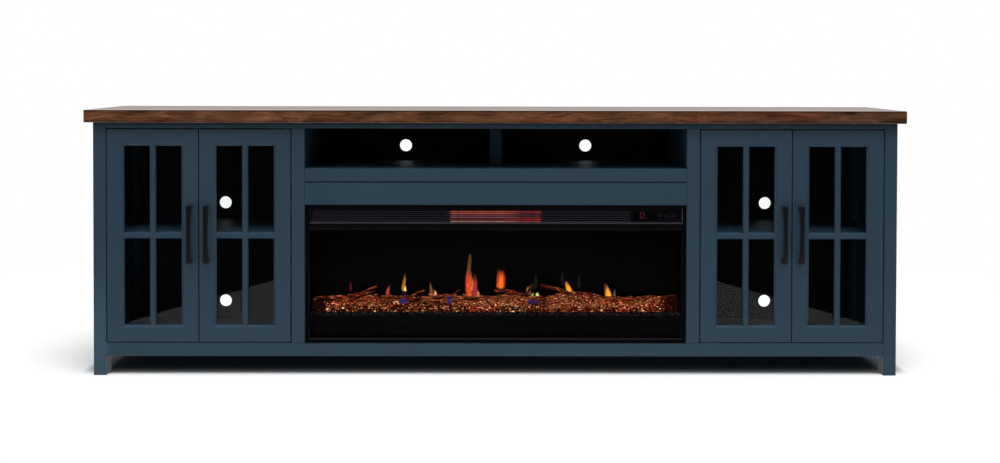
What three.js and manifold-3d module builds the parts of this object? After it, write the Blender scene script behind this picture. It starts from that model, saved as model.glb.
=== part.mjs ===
// Fireplace TV stand: a planked top on a painted cabinet with four glazed doors, an open media bay
// and an electric fireplace in the centre bay.
// Millimetres, +Z up. The front faces -Y and the origin lies on the floor under the middle of the whole.

import * as THREE from 'three';
import { mergeVertices } from 'three/addons/utils/BufferGeometryUtils.js';
import Module from 'manifold-3d';

const wasm = await Module();
wasm.setup();

// Overall sizes
const overallWidth = 2464;
const topDepth = 406;
const overallHeight = 800;

// Top
const topThickness = 38;
const topArris = 2;
const sideOverhang = 22;
const frontOverhang = 18;
const rearOverhang = 3;

// Face frame
const legWidth = 38;
const legDepth = 51;
const frameThickness = 22;
const centreStileWidth = 40;
const topRailHeight = 17;
const bottomRailHeight = 40;
const legClearHeight = 58;
const frameArris = 1.5;

// Carcass boards
const boardThickness = 16;
const backThickness = 5;
const sidePanelRecess = 6;
const seam = 0.25;
const dadoDepth = 4;

// Centre bay, from the bottom rail up
const centreBayWidth = 1150;
const fasciaHeight = 67;
const fasciaThickness = 18;
const fasciaArris = 4;
const fasciaGroove = 4.5;
const fasciaGrooveDepth = 8;
const nosingHeight = 38;
const mediaBayHeight = 121;
const dividerThickness = 38;
const dividerSetback = 120;

// Shelves behind the glass
const shelfTopAboveFloor = 332;
const shelfSetback = 10;
const shelfSideGap = 1.5;
const pinRadius = 4;
const pinLength = 8;
const pinEdgeDistance = 10;

// Cable holes
const cableHoleRadius = 20;
const lowerHoleAboveFloor = 57.5;
const upperHoleAboveShelf = 51;
const mediaHoleAboveShelf = 47;

// Doors
const doorGap = 2.5;
const doorThickness = 20;
const doorRailWidth = 44;
const stickingWidth = 7;
const stickingDepth = 5.5;
const lipDepth = 11;
const rebateWidth = 8;
const paneThickness = 4;
const muntinWidth = 18;
const muntinSetback = 2;
const muntinChamfer = 3;

// Bar pulls
const handleLength = 172;
const handleProjection = 28;
const handleEndProjection = 24;
const handleBarThickness = 9;
const handleEndWidth = 15;
const handleMiddleWidth = 11;
const handlePostHeight = 12;
const handleEdgeDistance = 24;
const handleCentreHeight = 427;

// Pivot hinges, let into the top and bottom edges of each door
const pivotInset = 14;
const pivotDepth = 6;
const pivotPinRadius = 2.5;
const pivotEngagement = 8;
const pivotEndClearance = 1;
const pivotClearance = 0.35;
const leafLength = 50;
const leafWidth = 9;
const leafThickness = 2.5;

// Magnetic door catches, screwed behind the top rail
const catchWidth = 60;
const catchDepth = 18;
const catchDrop = 17;
const catchTopMargin = 4;
const catchGap = 0.3;

// Fireplace insert: front
const insertSetback = 6;
const insertGap = 0.5;
const bezelThickness = 6;
const bezelArris = 1;
const bezelSideWidth = 15;
const glassSillHeight = 14;
const windowBarHeight = 22;
const ventHeight = 46;
const ventTopMargin = 9.5;
const bezelGrooveDrop = 15.5;
const bezelGrooveWidth = 2;
const bezelGrooveDepth = 1;
const viewingGlassThickness = 4;
const glassOverlap = 6;

// Fireplace insert: steel housing
const housingSideGap = 6;
const housingTopGap = 6.5;
const housingDepth = 140;
const housingWall = 2;
const baffleDrop = 14;
const rearSlotLength = 60;
const rearSlotHeight = 5;
const rearSlotPitch = 90;
const rearSlotCount = 3;
const rearSlotRowPitch = 14;
const inletWidth = 30;
const inletHeight = 24;
const inletDepth = 12;
const inletCorner = 2;
const inletBoreRadius = 4.5;
const inletEdgeDistance = 70;
const inletAboveFloor = 40;

// Vent grille and control panel, side by side in the upper window
const panelWidth = 149;
const grilleDepth = 8;
const grilleRim = 3.5;
const grilleTopRim = 7;
const louvreCount = 6;
const louvreThickness = 1.4;
const louvreDrop = 2.5;
const guardRibWidth = 1.2;
const guardRibPitch = 28;
const guardRibCount = 9;
const screenWidth = 140;
const screenHeight = 27;
const screenRecess = 1;
const screenCorner = 2;
const keyWidth = 12;
const keyHeight = 8;
const keyCorner = 2;
const keyClearance = 0.4;
const keyProud = 0.5;
const keyFlange = 2;
const keyFlangeThickness = 1.5;
const keyPitch = 21;
const keyCount = 3;
const firstKeyFromRight = 18;

// Quartz heater
const heaterLength = 271;
const heaterSetback = 13;
const heaterDepth = 34;
const heaterWall = 1.5;
const heaterTopGap = 5;
const tubeRadius = 5;
const tubeSpacing = 23;
const tubeRise = 20.5;
const tubeDepth = 18;

// Cross-flow blower wheel
const wheelRadius = 24;
const wheelInnerRadius = 17;
const wheelLength = 300;
const wheelDepth = 95;
const wheelRise = 17;
const bladeCount = 20;
const bladeThickness = 1;
const bladeSweepDegrees = 16;
const wheelDiscThickness = 2;
const wheelShaftRadius = 3;
const wheelShaftOverhang = 6;
const bracketThickness = 3;
const bracketWidth = 28;
const bracketMargin = 8;
const bearingClearance = 0.35;
const bracketGap = 0.5;

// Ember bed and branches
const bedSideGap = 2;
const bedFront = 15;
const bedBack = 84;
const bedLipHeight = 77;
const bedFrontHeight = 89;
const bedRearHeight = 122;
const bedHeap = 7;
const bedShell = 5;
const heapLength = 160;
const bedStations = 36;
const branchRadius = 8;
const branchSides = 7;
const branchSteps = 6;
const branchLift = 30;
const branchTipShare = 0.45;
const branchSag = 5;

// Flame screen and rotor
const flameScreenDepth = 90;
const flameScreenThickness = 3;
const flameScreenSill = 66;
const rotorDepth = 120;
const rotorHeight = 100;
const rotorShaftRadius = 2.5;
const finReach = 18;
const finWidth = 9;
const finThickness = 0.8;
const finPitch = 22;
const finTurnDegrees = 137.5;
const bearingRadius = 8;
const bearingLength = 9;

// Fineness of round forms
const holeSides = 28;
const pinSides = 16;
const curveSides = 12;
const overrun = 5;

// Places worked out from the sizes
const handleProud = Math.max(handleProjection - frontOverhang, 0);
const overallDepth = topDepth + handleProud;
const rearY = overallDepth / 2;
const topFrontY = rearY - topDepth;
const frontY = topFrontY + frontOverhang;
const frameRearY = frontY + frameThickness;
const doorRearY = frontY + doorThickness;
const carcassRearY = rearY - rearOverhang;
const boardRearY = carcassRearY - backThickness;
const legOuterX = overallWidth / 2 - sideOverhang;
const legInnerX = legOuterX - legWidth;
const sidePanelOuterX = legOuterX - sidePanelRecess;
const sidePanelInnerX = sidePanelOuterX - boardThickness;
const bayHalf = centreBayWidth / 2;
const partitionOuterX = bayHalf + boardThickness;
const stileOuterX = bayHalf + centreStileWidth;
const topUnderZ = overallHeight - topThickness;
const topRailUnderZ = topUnderZ - topRailHeight;
const floorTopZ = legClearHeight + bottomRailHeight;
const mediaShelfTopZ = topRailUnderZ - mediaBayHeight;
const nosingUnderZ = mediaShelfTopZ - nosingHeight;
const fasciaTopZ = nosingUnderZ - fasciaGroove;
const fasciaUnderZ = fasciaTopZ - fasciaHeight;
const insertOpeningHeight = fasciaUnderZ - floorTopZ;
const shelfTopZ = floorTopZ + shelfTopAboveFloor;
const shelfUnderZ = shelfTopZ - boardThickness;
const pinZ = shelfUnderZ - pinRadius - seam;
const frontPinY = frontY + legDepth - pinEdgeDistance;
const rearPinY = carcassRearY - legDepth + pinEdgeDistance;
const doorWidth = (legInnerX - stileOuterX - 3 * doorGap) / 2;
const doorHeight = topRailUnderZ - floorTopZ - 2 * doorGap;
const doorCentreZ = floorTopZ + doorGap + doorHeight / 2;
const sightInset = doorRailWidth + stickingWidth;
const outerDoorX = legInnerX - doorGap - doorWidth / 2;
const innerDoorX = stileOuterX + doorGap + doorWidth / 2;
const pivotReach = doorWidth / 2 - pivotInset;

// Looks
const paint = { color: 0x2e4250, roughness: 0.45, metalness: 0 };
const stainedWood = { color: 0x58382a, roughness: 0.5, metalness: 0 };
const blackBoard = { color: 0x0c1013, roughness: 0.7, metalness: 0 };
const blackMetal = { color: 0x101214, roughness: 0.5, metalness: 0.8 };
const blackSteel = { color: 0x08080a, roughness: 0.6, metalness: 0.6 };
const brightSteel = { color: 0x9a9da0, roughness: 0.3, metalness: 1 };
const clearGlass = { color: 0xdfe8ea, roughness: 0.05, metalness: 0, transparent: true, opacity: 0.3 };
const smokedGlass = { color: 0x26282a, roughness: 0.05, metalness: 0, transparent: true, opacity: 0.5 };
const blackPlastic = { color: 0x0b0b0d, roughness: 0.3, metalness: 0 };
const glowingQuartz = { color: 0xd2331a, roughness: 0.3, metalness: 0 };
const embers = { color: 0x8a3d1c, roughness: 0.8, metalness: 0 };
const charredBranch = { color: 0x5a3220, roughness: 0.9, metalness: 0 };
const screenSheet = { color: 0x050506, roughness: 0.4, metalness: 0 };

// Directions of extrusion: each matrix turns the local z axis to a main direction
const xAxis = new THREE.Vector3(1, 0, 0);
const yAxis = new THREE.Vector3(0, 1, 0);
const zAxis = new THREE.Vector3(0, 0, 1);
const alongX = new THREE.Matrix4().makeBasis(yAxis, zAxis, xAxis);
const alongY = new THREE.Matrix4().makeBasis(xAxis, zAxis, yAxis.clone().negate());
const alongZ = new THREE.Matrix4();

function piece(name, geometry, look, x = 0, y = 0, z = 0) {
  const mesh = new THREE.Mesh(geometry, new THREE.MeshStandardMaterial(look));
  mesh.name = name;
  mesh.position.set(x, y, z);
  return mesh;
}

// Joins and cuts of closed geometries
function solidOf(geometry) {
  const bare = geometry.clone();
  bare.deleteAttribute('normal');
  bare.deleteAttribute('uv');
  const merged = mergeVertices(bare);
  return new wasm.Manifold(new wasm.Mesh({
    numProp: 3,
    vertProperties: new Float32Array(merged.attributes.position.array),
    triVerts: new Uint32Array(merged.index.array),
  }));
}

function geometryOf(solid) {
  const mesh = solid.getMesh();
  const geometry = new THREE.BufferGeometry();
  geometry.setAttribute('position', new THREE.BufferAttribute(mesh.vertProperties, 3));
  geometry.setIndex(new THREE.BufferAttribute(mesh.triVerts, 1));
  return geometry;
}

function cut(base, tools) {
  return geometryOf(tools.reduce((solid, tool) => solid.subtract(solidOf(tool)), solidOf(base)));
}

function join(parts) {
  return geometryOf(parts.slice(1).reduce((solid, part) => solid.add(solidOf(part)), solidOf(parts[0])));
}

function common(first, second) {
  return geometryOf(solidOf(first).intersect(solidOf(second)));
}

// Outlines, as lists of points or as shapes
function rectangle(width, height) {
  return [
    [-width / 2, -height / 2],
    [width / 2, -height / 2],
    [width / 2, height / 2],
    [-width / 2, height / 2],
  ];
}

function rectangleBetween([left, right], [low, high]) {
  return [[left, low], [right, low], [right, high], [left, high]];
}

function chamferedRectangle(width, height, chamfer) {
  const [w, h] = [width / 2, height / 2];
  return [
    [chamfer - w, -h], [w - chamfer, -h], [w, chamfer - h], [w, h - chamfer],
    [w - chamfer, h], [chamfer - w, h], [-w, h - chamfer], [-w, chamfer - h],
  ];
}

function roundedRectangle(width, height, radius) {
  const [w, h] = [width / 2 - radius, height / 2 - radius];
  const shape = new THREE.Shape();
  shape.absarc(w, h, radius, 0, Math.PI / 2);
  shape.absarc(-w, h, radius, Math.PI / 2, Math.PI);
  shape.absarc(-w, -h, radius, Math.PI, 3 * Math.PI / 2);
  shape.absarc(w, -h, radius, 3 * Math.PI / 2, 2 * Math.PI);
  return shape;
}

function circle(radius, sides, x = 0, y = 0) {
  return Array.from({ length: sides }, (_, i) => {
    const angle = 2 * Math.PI * i / sides;
    return [x + radius * Math.cos(angle), y + radius * Math.sin(angle)];
  });
}

function pathOf(points, Kind) {
  return new Kind(points.map(([a, b]) => new THREE.Vector2(a, b)));
}

// A straight piece of one section, centred on its length, with its end edges broken by the arris
function prism(direction, outline, length, { arris = 0, holes = [], segments = curveSides } = {}) {
  const shape = Array.isArray(outline) ? pathOf(outline, THREE.Shape) : outline;
  shape.holes = holes.map((hole) => pathOf(hole, THREE.Path));
  const geometry = new THREE.ExtrudeGeometry(shape, {
    depth: length - 2 * arris,
    bevelEnabled: arris > 0,
    bevelSize: arris,
    bevelThickness: arris,
    bevelOffset: -arris,
    bevelSegments: 1,
    curveSegments: segments,
  });
  geometry.translate(0, 0, arris - length / 2);
  return geometry.applyMatrix4(direction);
}

function rod(direction, radius, length, sides = pinSides) {
  return prism(direction, circle(radius, sides), length);
}

function placed(geometry, x, y, z) {
  return geometry.translate(x, y, z);
}

// A plain block between two limits on each axis
function blockBetween(x, y, z) {
  const middle = [x, y, z].map(([low, high]) => (low + high) / 2);
  return placed(prism(alongZ, rectangle(x[1] - x[0], y[1] - y[0]), z[1] - z[0]), ...middle);
}

// A flat board: its thickness runs in the given direction and the edges of both faces are broken
function board(name, look, direction, x, y, z, arris = 0) {
  const [width, depth, height] = [x, y, z].map(([low, high]) => high - low);
  const faces = new Map([
    [alongX, [rectangle(depth, height), width]],
    [alongY, [rectangle(width, height), depth]],
    [alongZ, [rectangle(width, depth), height]],
  ]);
  const [outline, thickness] = faces.get(direction);
  const middle = [x, y, z].map(([low, high]) => (low + high) / 2);
  return piece(name, prism(direction, outline, thickness, { arris }), look, ...middle);
}

// A frame of one profile, mitred at its corners: profile points are inset from the outer edge and
// depth behind the front face
function mitredFrame(width, height, profile) {
  const corners = [[-1, -1], [1, -1], [1, 1], [-1, 1]];
  const count = profile.length;
  const positions = [];
  for (const [across, up] of corners) {
    for (const [inset, depth] of profile) {
      positions.push(across * (width / 2 - inset), depth, up * (height / 2 - inset));
    }
  }
  const faces = [];
  for (let corner = 0; corner < corners.length; corner += 1) {
    const next = (corner + 1) % corners.length;
    for (let i = 0; i < count; i += 1) {
      const j = (i + 1) % count;
      const quad = [corner * count + i, next * count + i, next * count + j, corner * count + j];
      faces.push(quad[0], quad[1], quad[2], quad[0], quad[2], quad[3]);
    }
  }
  const geometry = new THREE.BufferGeometry();
  geometry.setAttribute('position', new THREE.Float32BufferAttribute(positions, 3));
  geometry.setIndex(faces);
  return geometry;
}

// A closed skin through sections that stand across X: each station is its x and an anticlockwise
// outline of y, z points, as many at every station
function loftAlongX(stations) {
  const count = stations[0].outline.length;
  const positions = stations.flatMap(({ x, outline }) => outline.flatMap(([y, z]) => [x, y, z]));
  const faces = [];
  for (let station = 0; station < stations.length - 1; station += 1) {
    for (let i = 0; i < count; i += 1) {
      const j = (i + 1) % count;
      const [here, beyond] = [station * count, (station + 1) * count];
      faces.push(here + i, here + j, beyond + j, here + i, beyond + j, beyond + i);
    }
  }
  const last = stations.length - 1;
  const cap = (station) => {
    const points = stations[station].outline.map(([y, z]) => new THREE.Vector2(y, z));
    return THREE.ShapeUtils.triangulateShape(points, []).flat().map((i) => station * count + i);
  };
  faces.push(...cap(0).reverse(), ...cap(last));
  const geometry = new THREE.BufferGeometry();
  geometry.setAttribute('position', new THREE.Float32BufferAttribute(positions, 3));
  geometry.setIndex(faces);
  return geometry;
}

// Top: one thick board, its arrises broken all round
function top() {
  const outline = rectangle(overallWidth, topDepth);
  const geometry = prism(alongZ, outline, topThickness, { arris: topArris });
  return piece('top_panel', geometry, stainedWood, 0, rearY - topDepth / 2, overallHeight - topThickness / 2);
}

// Shelf pins stand out of the inner side of a leg
function shelfPin(x, y) {
  return placed(rod(alongX, pinRadius, pinLength * 2), x, y, pinZ);
}

// Corner legs, with the arrises of their full length broken and a shelf pin let into each
function leg(name, side, low, high, pinY) {
  const outline = chamferedRectangle(legWidth, legDepth, frameArris);
  const height = topUnderZ - seam;
  const x = side * (legOuterX - legWidth / 2);
  const post = placed(prism(alongZ, outline, height), x, (low + high) / 2, height / 2);
  return piece(name, join([post, shelfPin(side * legInnerX, pinY)]), paint);
}

function legs() {
  return [['left', -1], ['right', 1]].flatMap(([word, side]) => [
    leg(`leg_front_${word}`, side, frontY, frontY + legDepth, frontPinY),
    leg(`leg_back_${word}`, side, carcassRearY - legDepth, carcassRearY, rearPinY),
  ]);
}

// Face frame
function pivotBore(x, z) {
  const depth = pivotEngagement + pivotEndClearance;
  const bore = rod(alongZ, pivotPinRadius + pivotClearance, 2 * depth, holeSides);
  return placed(bore, x, frontY + pivotDepth, z);
}

const [outerHingeX, innerHingeX] = [outerDoorX + pivotReach, innerDoorX - pivotReach];
const hingeXs = [-outerHingeX, -innerHingeX, innerHingeX, outerHingeX];

function topRail() {
  const height = topRailHeight - seam;
  const section = chamferedRectangle(frameThickness, height, frameArris);
  const rail = placed(
    prism(alongX, section, 2 * (legInnerX - seam)),
    0,
    frontY + frameThickness / 2,
    topRailUnderZ + height / 2,
  );
  const catchY = [doorRearY + catchGap, doorRearY + catchGap + catchDepth];
  const catchZ = [topRailUnderZ - catchDrop, topUnderZ - catchTopMargin];
  const catches = [-1, 1].map((side) => {
    const x = side * (legInnerX + stileOuterX) / 2;
    return blockBetween([x - catchWidth / 2, x + catchWidth / 2], catchY, catchZ);
  });
  const bores = hingeXs.map((x) => pivotBore(x, topRailUnderZ));
  return piece('top_rail', cut(join([rail, ...catches]), bores), paint);
}

function bottomRail() {
  const section = chamferedRectangle(frameThickness, bottomRailHeight, frameArris);
  const rail = placed(
    prism(alongX, section, 2 * (legInnerX - seam)),
    0,
    frontY + frameThickness / 2,
    legClearHeight + bottomRailHeight / 2,
  );
  return piece('bottom_rail', cut(rail, hingeXs.map((x) => pivotBore(x, floorTopZ))), paint);
}

function centreStile(name, side) {
  const height = topRailUnderZ - floorTopZ - 2 * seam;
  const section = chamferedRectangle(centreStileWidth, frameThickness, frameArris);
  const x = side * (bayHalf + centreStileWidth / 2);
  const z = floorTopZ + seam + height / 2;
  return piece(name, prism(alongZ, section, height), paint, x, frontY + frameThickness / 2, z);
}

// Carcass boards
function sidePanel(name, side) {
  const x = [sidePanelInnerX, sidePanelOuterX].map((value) => side * value).sort((a, b) => a - b);
  const y = [frontY + legDepth + seam, carcassRearY - legDepth - seam];
  return board(name, paint, alongX, x, y, [legClearHeight, topUnderZ - seam]);
}

function partition(name, side) {
  const x = [bayHalf, partitionOuterX].map((value) => side * value).sort((a, b) => a - b);
  const z = [floorTopZ - dadoDepth + seam, topUnderZ - seam];
  const panel = blockBetween(x, [frameRearY + seam, boardRearY - seam], z);
  const pins = [frontPinY, rearPinY].map((y) => {
    const pin = rod(alongX, pinRadius, pinLength + boardThickness / 2);
    return placed(pin, side * (partitionOuterX + pinLength / 2 - boardThickness / 4), y, pinZ);
  });
  return piece(name, join([panel, ...pins]), paint);
}

// A dado across the top of a board, from the front or from a stop to past the rear edge
function dado([left, right], front, topZ) {
  return blockBetween(
    [left - seam, right + seam],
    [front, boardRearY + overrun],
    [topZ - dadoDepth, topZ + overrun],
  );
}

// The floor is notched round the four legs and has a dado for each partition
function cabinetFloor() {
  const [narrow, wide] = [legInnerX - seam, sidePanelInnerX - seam];
  const [front, rear] = [frameRearY + seam, boardRearY - seam];
  const [notchFront, notchRear] = [frontY + legDepth + seam, carcassRearY - legDepth - seam];
  const half = [
    [narrow, front], [narrow, notchFront], [wide, notchFront],
    [wide, notchRear], [narrow, notchRear], [narrow, rear],
  ];
  const outline = [...half, ...half.map(([x, y]) => [-x, y]).reverse()];
  const panel = placed(prism(alongZ, outline, boardThickness), 0, 0, floorTopZ - boardThickness / 2);
  const dadoFront = frameRearY - overrun;
  const dados = [
    dado([-partitionOuterX, -bayHalf], dadoFront, floorTopZ),
    dado([bayHalf, partitionOuterX], dadoFront, floorTopZ),
  ];
  return piece('cabinet_floor', cut(panel, dados), paint);
}

// Back panels with round cable holes; holes are x, z centres
function backPanel(name, x, z, holes) {
  const [midX, midZ] = [x, z].map(([low, high]) => (low + high) / 2);
  const outline = rectangle(x[1] - x[0], z[1] - z[0]);
  const rims = holes.map(([holeX, holeZ]) => circle(cableHoleRadius, holeSides, holeX - midX, holeZ - midZ));
  const panel = prism(alongY, outline, backThickness, { holes: rims });
  return piece(name, panel, blackBoard, midX, carcassRearY - backThickness / 2, midZ);
}

function backPanels() {
  const partitionMid = bayHalf + boardThickness / 2;
  const sideX = [partitionMid + seam, legInnerX - seam];
  const sideZ = [floorTopZ - boardThickness, topUnderZ - seam];
  const sideHoles = [floorTopZ + lowerHoleAboveFloor, shelfTopZ + upperHoleAboveShelf];
  const holeX = (legInnerX + stileOuterX) / 2;
  const bayX = (dividerThickness / 2 + bayHalf) / 2;
  const mediaZ = mediaShelfTopZ + mediaHoleAboveShelf;
  return [
    backPanel('back_panel_left', sideX.map((x) => -x).reverse(), sideZ, sideHoles.map((z) => [-holeX, z])),
    backPanel(
      'back_panel_media',
      [seam - partitionMid, partitionMid - seam],
      [mediaShelfTopZ - boardThickness, topUnderZ - seam],
      [[-bayX, mediaZ], [bayX, mediaZ]],
    ),
    backPanel('back_panel_right', sideX, sideZ, sideHoles.map((z) => [holeX, z])),
  ];
}

// The media shelf carries a deep nosing, so its section is an L lying on its side, and a stopped dado
// takes the divider
function mediaShelf() {
  const section = [
    [frontY, nosingUnderZ + frameArris],
    [frontY + frameArris, nosingUnderZ],
    [frameRearY, nosingUnderZ],
    [frameRearY, mediaShelfTopZ - boardThickness],
    [boardRearY - seam, mediaShelfTopZ - boardThickness],
    [boardRearY - seam, mediaShelfTopZ],
    [frontY + frameArris, mediaShelfTopZ],
    [frontY, mediaShelfTopZ - frameArris],
  ];
  const shelf = prism(alongX, section, 2 * (bayHalf - seam));
  const half = dividerThickness / 2;
  const stopped = dado([-half, half], frontY + dividerSetback - seam, mediaShelfTopZ);
  return piece('media_shelf', cut(shelf, [stopped]), paint);
}

function mediaDivider() {
  const [front, rear] = [frontY + dividerSetback, boardRearY - seam];
  const height = topUnderZ - mediaShelfTopZ + dadoDepth - 2 * seam;
  const section = chamferedRectangle(dividerThickness, rear - front, frameArris);
  const z = mediaShelfTopZ - dadoDepth + seam + height / 2;
  return piece('media_divider', prism(alongZ, section, height), paint, 0, (front + rear) / 2, z);
}

// The fascia over the insert: a wide chamfer along its lower edge, and a rebate along its upper edge that
// leaves a shadow groove under the nosing
function fascia() {
  const section = [
    [frontY, fasciaUnderZ + fasciaArris],
    [frontY + fasciaArris, fasciaUnderZ],
    [frontY + fasciaThickness, fasciaUnderZ],
    [frontY + fasciaThickness, nosingUnderZ - seam],
    [frontY + fasciaGrooveDepth, nosingUnderZ - seam],
    [frontY + fasciaGrooveDepth, fasciaTopZ],
    [frontY + frameArris, fasciaTopZ],
    [frontY, fasciaTopZ - frameArris],
  ];
  return piece('fascia_board', prism(alongX, section, 2 * (bayHalf - seam)), paint);
}

function adjustableShelf(name, side) {
  const x = [partitionOuterX + shelfSideGap, legInnerX - shelfSideGap].map((value) => side * value);
  const y = [doorRearY + shelfSetback, boardRearY - shelfSideGap];
  return board(name, paint, alongZ, x.sort((a, b) => a - b), y, [shelfUnderZ, shelfTopZ], frameArris);
}

// Doors, in a frame of their own: the origin is the middle of the front face and the hinge edge lies
// on the side named by hingeSide
function pivotHinge(name, hingeSide, up) {
  const edge = doorHeight / 2;
  const pinX = hingeSide * pivotReach;
  const leafX = pinX - hingeSide * (leafLength / 2 - leafWidth / 2);
  const leaf = placed(
    prism(alongZ, roundedRectangle(leafLength, leafWidth, leafWidth / 4), leafThickness, { segments: 3 }),
    leafX,
    pivotDepth,
    up * (edge - leafThickness / 2),
  );
  const reach = leafThickness / 2 + doorGap + pivotEngagement;
  const pinZMiddle = up * (edge - leafThickness / 2 + reach / 2);
  const pin = placed(rod(alongZ, pivotPinRadius, reach), pinX, pivotDepth, pinZMiddle);
  return piece(name, join([leaf, pin]), brightSteel);
}

function doorFrame(name, hingeSide) {
  const profile = [
    [frameArris, 0],
    [doorRailWidth, 0],
    [sightInset, stickingDepth],
    [sightInset, lipDepth],
    [sightInset - rebateWidth, lipDepth],
    [sightInset - rebateWidth, doorThickness],
    [0, doorThickness],
    [0, frameArris],
  ];
  const leafX = hingeSide * (pivotReach - leafLength / 2 + leafWidth / 2);
  const mortises = [-1, 1].map((up) => placed(
    prism(alongZ, rectangle(leafLength + 2 * seam, leafWidth + 2 * seam), 2 * (leafThickness + seam)),
    leafX,
    pivotDepth,
    up * doorHeight / 2,
  ));
  return piece(name, cut(mitredFrame(doorWidth, doorHeight, profile), mortises), paint);
}

// A muntin bar: its ends are coped over the sticking of the frame and its front edges are chamfered
function muntinBar(sightLength, lengthwise, crosswise) {
  const half = sightLength / 2 - seam;
  const cope = half + (stickingDepth - muntinSetback) * stickingWidth / stickingDepth;
  const back = lipDepth - seam;
  const side = [
    [-half, back], [-half, stickingDepth], [-cope, muntinSetback],
    [cope, muntinSetback], [half, stickingDepth], [half, back],
  ];
  const [w, flat] = [muntinWidth / 2, muntinWidth / 2 - muntinChamfer];
  const chamferBack = muntinSetback + muntinChamfer;
  const section = [
    [-w, back], [-w, chamferBack], [-flat, muntinSetback],
    [flat, muntinSetback], [w, chamferBack], [w, back],
  ];
  const turned = (points) => points.map(([along, depth]) => [depth, along]);
  const sideOutline = lengthwise === alongZ ? turned(side) : side;
  const sectionOutline = lengthwise === alongZ ? section : turned(section);
  return common(prism(crosswise, sideOutline, muntinWidth), prism(lengthwise, sectionOutline, 2 * cope));
}

function muntinGrille(name) {
  const upright = muntinBar(doorHeight - 2 * sightInset, alongZ, alongX);
  const cross = muntinBar(doorWidth - 2 * sightInset, alongX, alongZ);
  return piece(name, join([upright, cross]), paint);
}

function doorPane(name) {
  const inset = sightInset - rebateWidth + 2 * seam;
  const [width, height] = [doorWidth - 2 * inset, doorHeight - 2 * inset];
  const y = lipDepth + seam + paneThickness / 2;
  return piece(name, prism(alongY, rectangle(width, height), paneThickness), clearGlass, 0, y, 0);
}

// A bowed bar pull: the outline seen from the front meets the outline seen from the side
function barPull(name, hingeSide) {
  const half = handleLength / 2;
  const inner = handleEndProjection - handleBarThickness;
  const bow = 2 * (handleProjection - handleEndProjection);
  const side = new THREE.Shape();
  side.moveTo(-seam, -half);
  side.lineTo(-seam, handlePostHeight - half);
  side.lineTo(-inner, handlePostHeight - half);
  side.quadraticCurveTo(-inner - bow, 0, -inner, half - handlePostHeight);
  side.lineTo(-seam, half - handlePostHeight);
  side.lineTo(-seam, half);
  side.lineTo(-handleEndProjection, half);
  side.quadraticCurveTo(-handleEndProjection - bow, 0, -handleEndProjection, -half);
  const front = new THREE.Shape();
  front.moveTo(-handleEndWidth / 2, -half);
  front.lineTo(handleEndWidth / 2, -half);
  front.quadraticCurveTo(handleMiddleWidth - handleEndWidth / 2, 0, handleEndWidth / 2, half);
  front.lineTo(-handleEndWidth / 2, half);
  front.quadraticCurveTo(handleEndWidth / 2 - handleMiddleWidth, 0, -handleEndWidth / 2, -half);
  const bar = common(
    prism(alongX, side, handleEndWidth + overrun),
    prism(alongY, front, 2 * (handleProjection + overrun)),
  );
  const x = hingeSide * (handleEdgeDistance - doorWidth / 2);
  return piece(name, bar, blackMetal, x, 0, handleCentreHeight - doorCentreZ);
}

function door(number, x, hingeSide) {
  const group = new THREE.Group();
  group.position.set(x, frontY, doorCentreZ);
  group.add(
    doorFrame(`door_frame_${number}`, hingeSide),
    muntinGrille(`door_grille_${number}`),
    doorPane(`door_glass_${number}`),
    barPull(`door_handle_${number}`, hingeSide),
    pivotHinge(`upper_pivot_${number}`, hingeSide, 1),
    pivotHinge(`lower_pivot_${number}`, hingeSide, -1),
  );
  return group;
}

function doors() {
  const places = [[-outerDoorX, -1], [-innerDoorX, 1], [innerDoorX, -1], [outerDoorX, 1]];
  return places.map(([x, hingeSide], i) => door(i + 1, x, hingeSide));
}

// The insert, in a frame of its own: the origin lies on the cabinet floor under the front of its bezel,
// y runs back and z runs up
const openingHalf = bayHalf - bezelSideWidth;
const housingFrontY = bezelThickness + viewingGlassThickness + 2 * seam;
const housingCavityY = housingFrontY + housingWall;
const housingRearY = housingFrontY + housingDepth;
const housingHalf = bayHalf - housingSideGap;
const housingTop = insertOpeningHeight - housingTopGap;
const cavityHalf = housingHalf - housingWall;
const ventSill = insertOpeningHeight - ventTopMargin - ventHeight;
const ventZ = [ventSill, ventSill + ventHeight];
const glassZ = [glassSillHeight, ventSill - windowBarHeight];
const baffleZ = ventSill - baffleDrop;
const chamberFloor = baffleZ + housingWall;
const wheelZ = ventSill + wheelRise;

function bezel() {
  const height = [insertGap, insertOpeningHeight - insertGap];
  const middle = (height[0] + height[1]) / 2;
  const window = (z) => rectangleBetween([-openingHalf, openingHalf], z.map((value) => value - middle));
  const plate = placed(
    prism(alongY, rectangle(2 * (bayHalf - insertGap), height[1] - height[0]), bezelThickness, {
      arris: bezelArris,
      holes: [window(glassZ), window(ventZ)],
    }),
    0,
    bezelThickness / 2,
    middle,
  );
  const groove = blockBetween(
    [-openingHalf, openingHalf],
    [-overrun, bezelGrooveDepth],
    [ventSill - bezelGrooveDrop, ventSill - bezelGrooveDrop + bezelGrooveWidth],
  );
  return piece('front_bezel', cut(plate, [groove]), blackMetal);
}

function viewingGlass() {
  const half = openingHalf + glassOverlap;
  const z = [glassZ[0] - glassOverlap, glassZ[1] + glassOverlap];
  const y = [bezelThickness + seam, bezelThickness + seam + viewingGlassThickness];
  return board('viewing_glass', smokedGlass, alongY, [-half, half], y, z);
}

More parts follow.
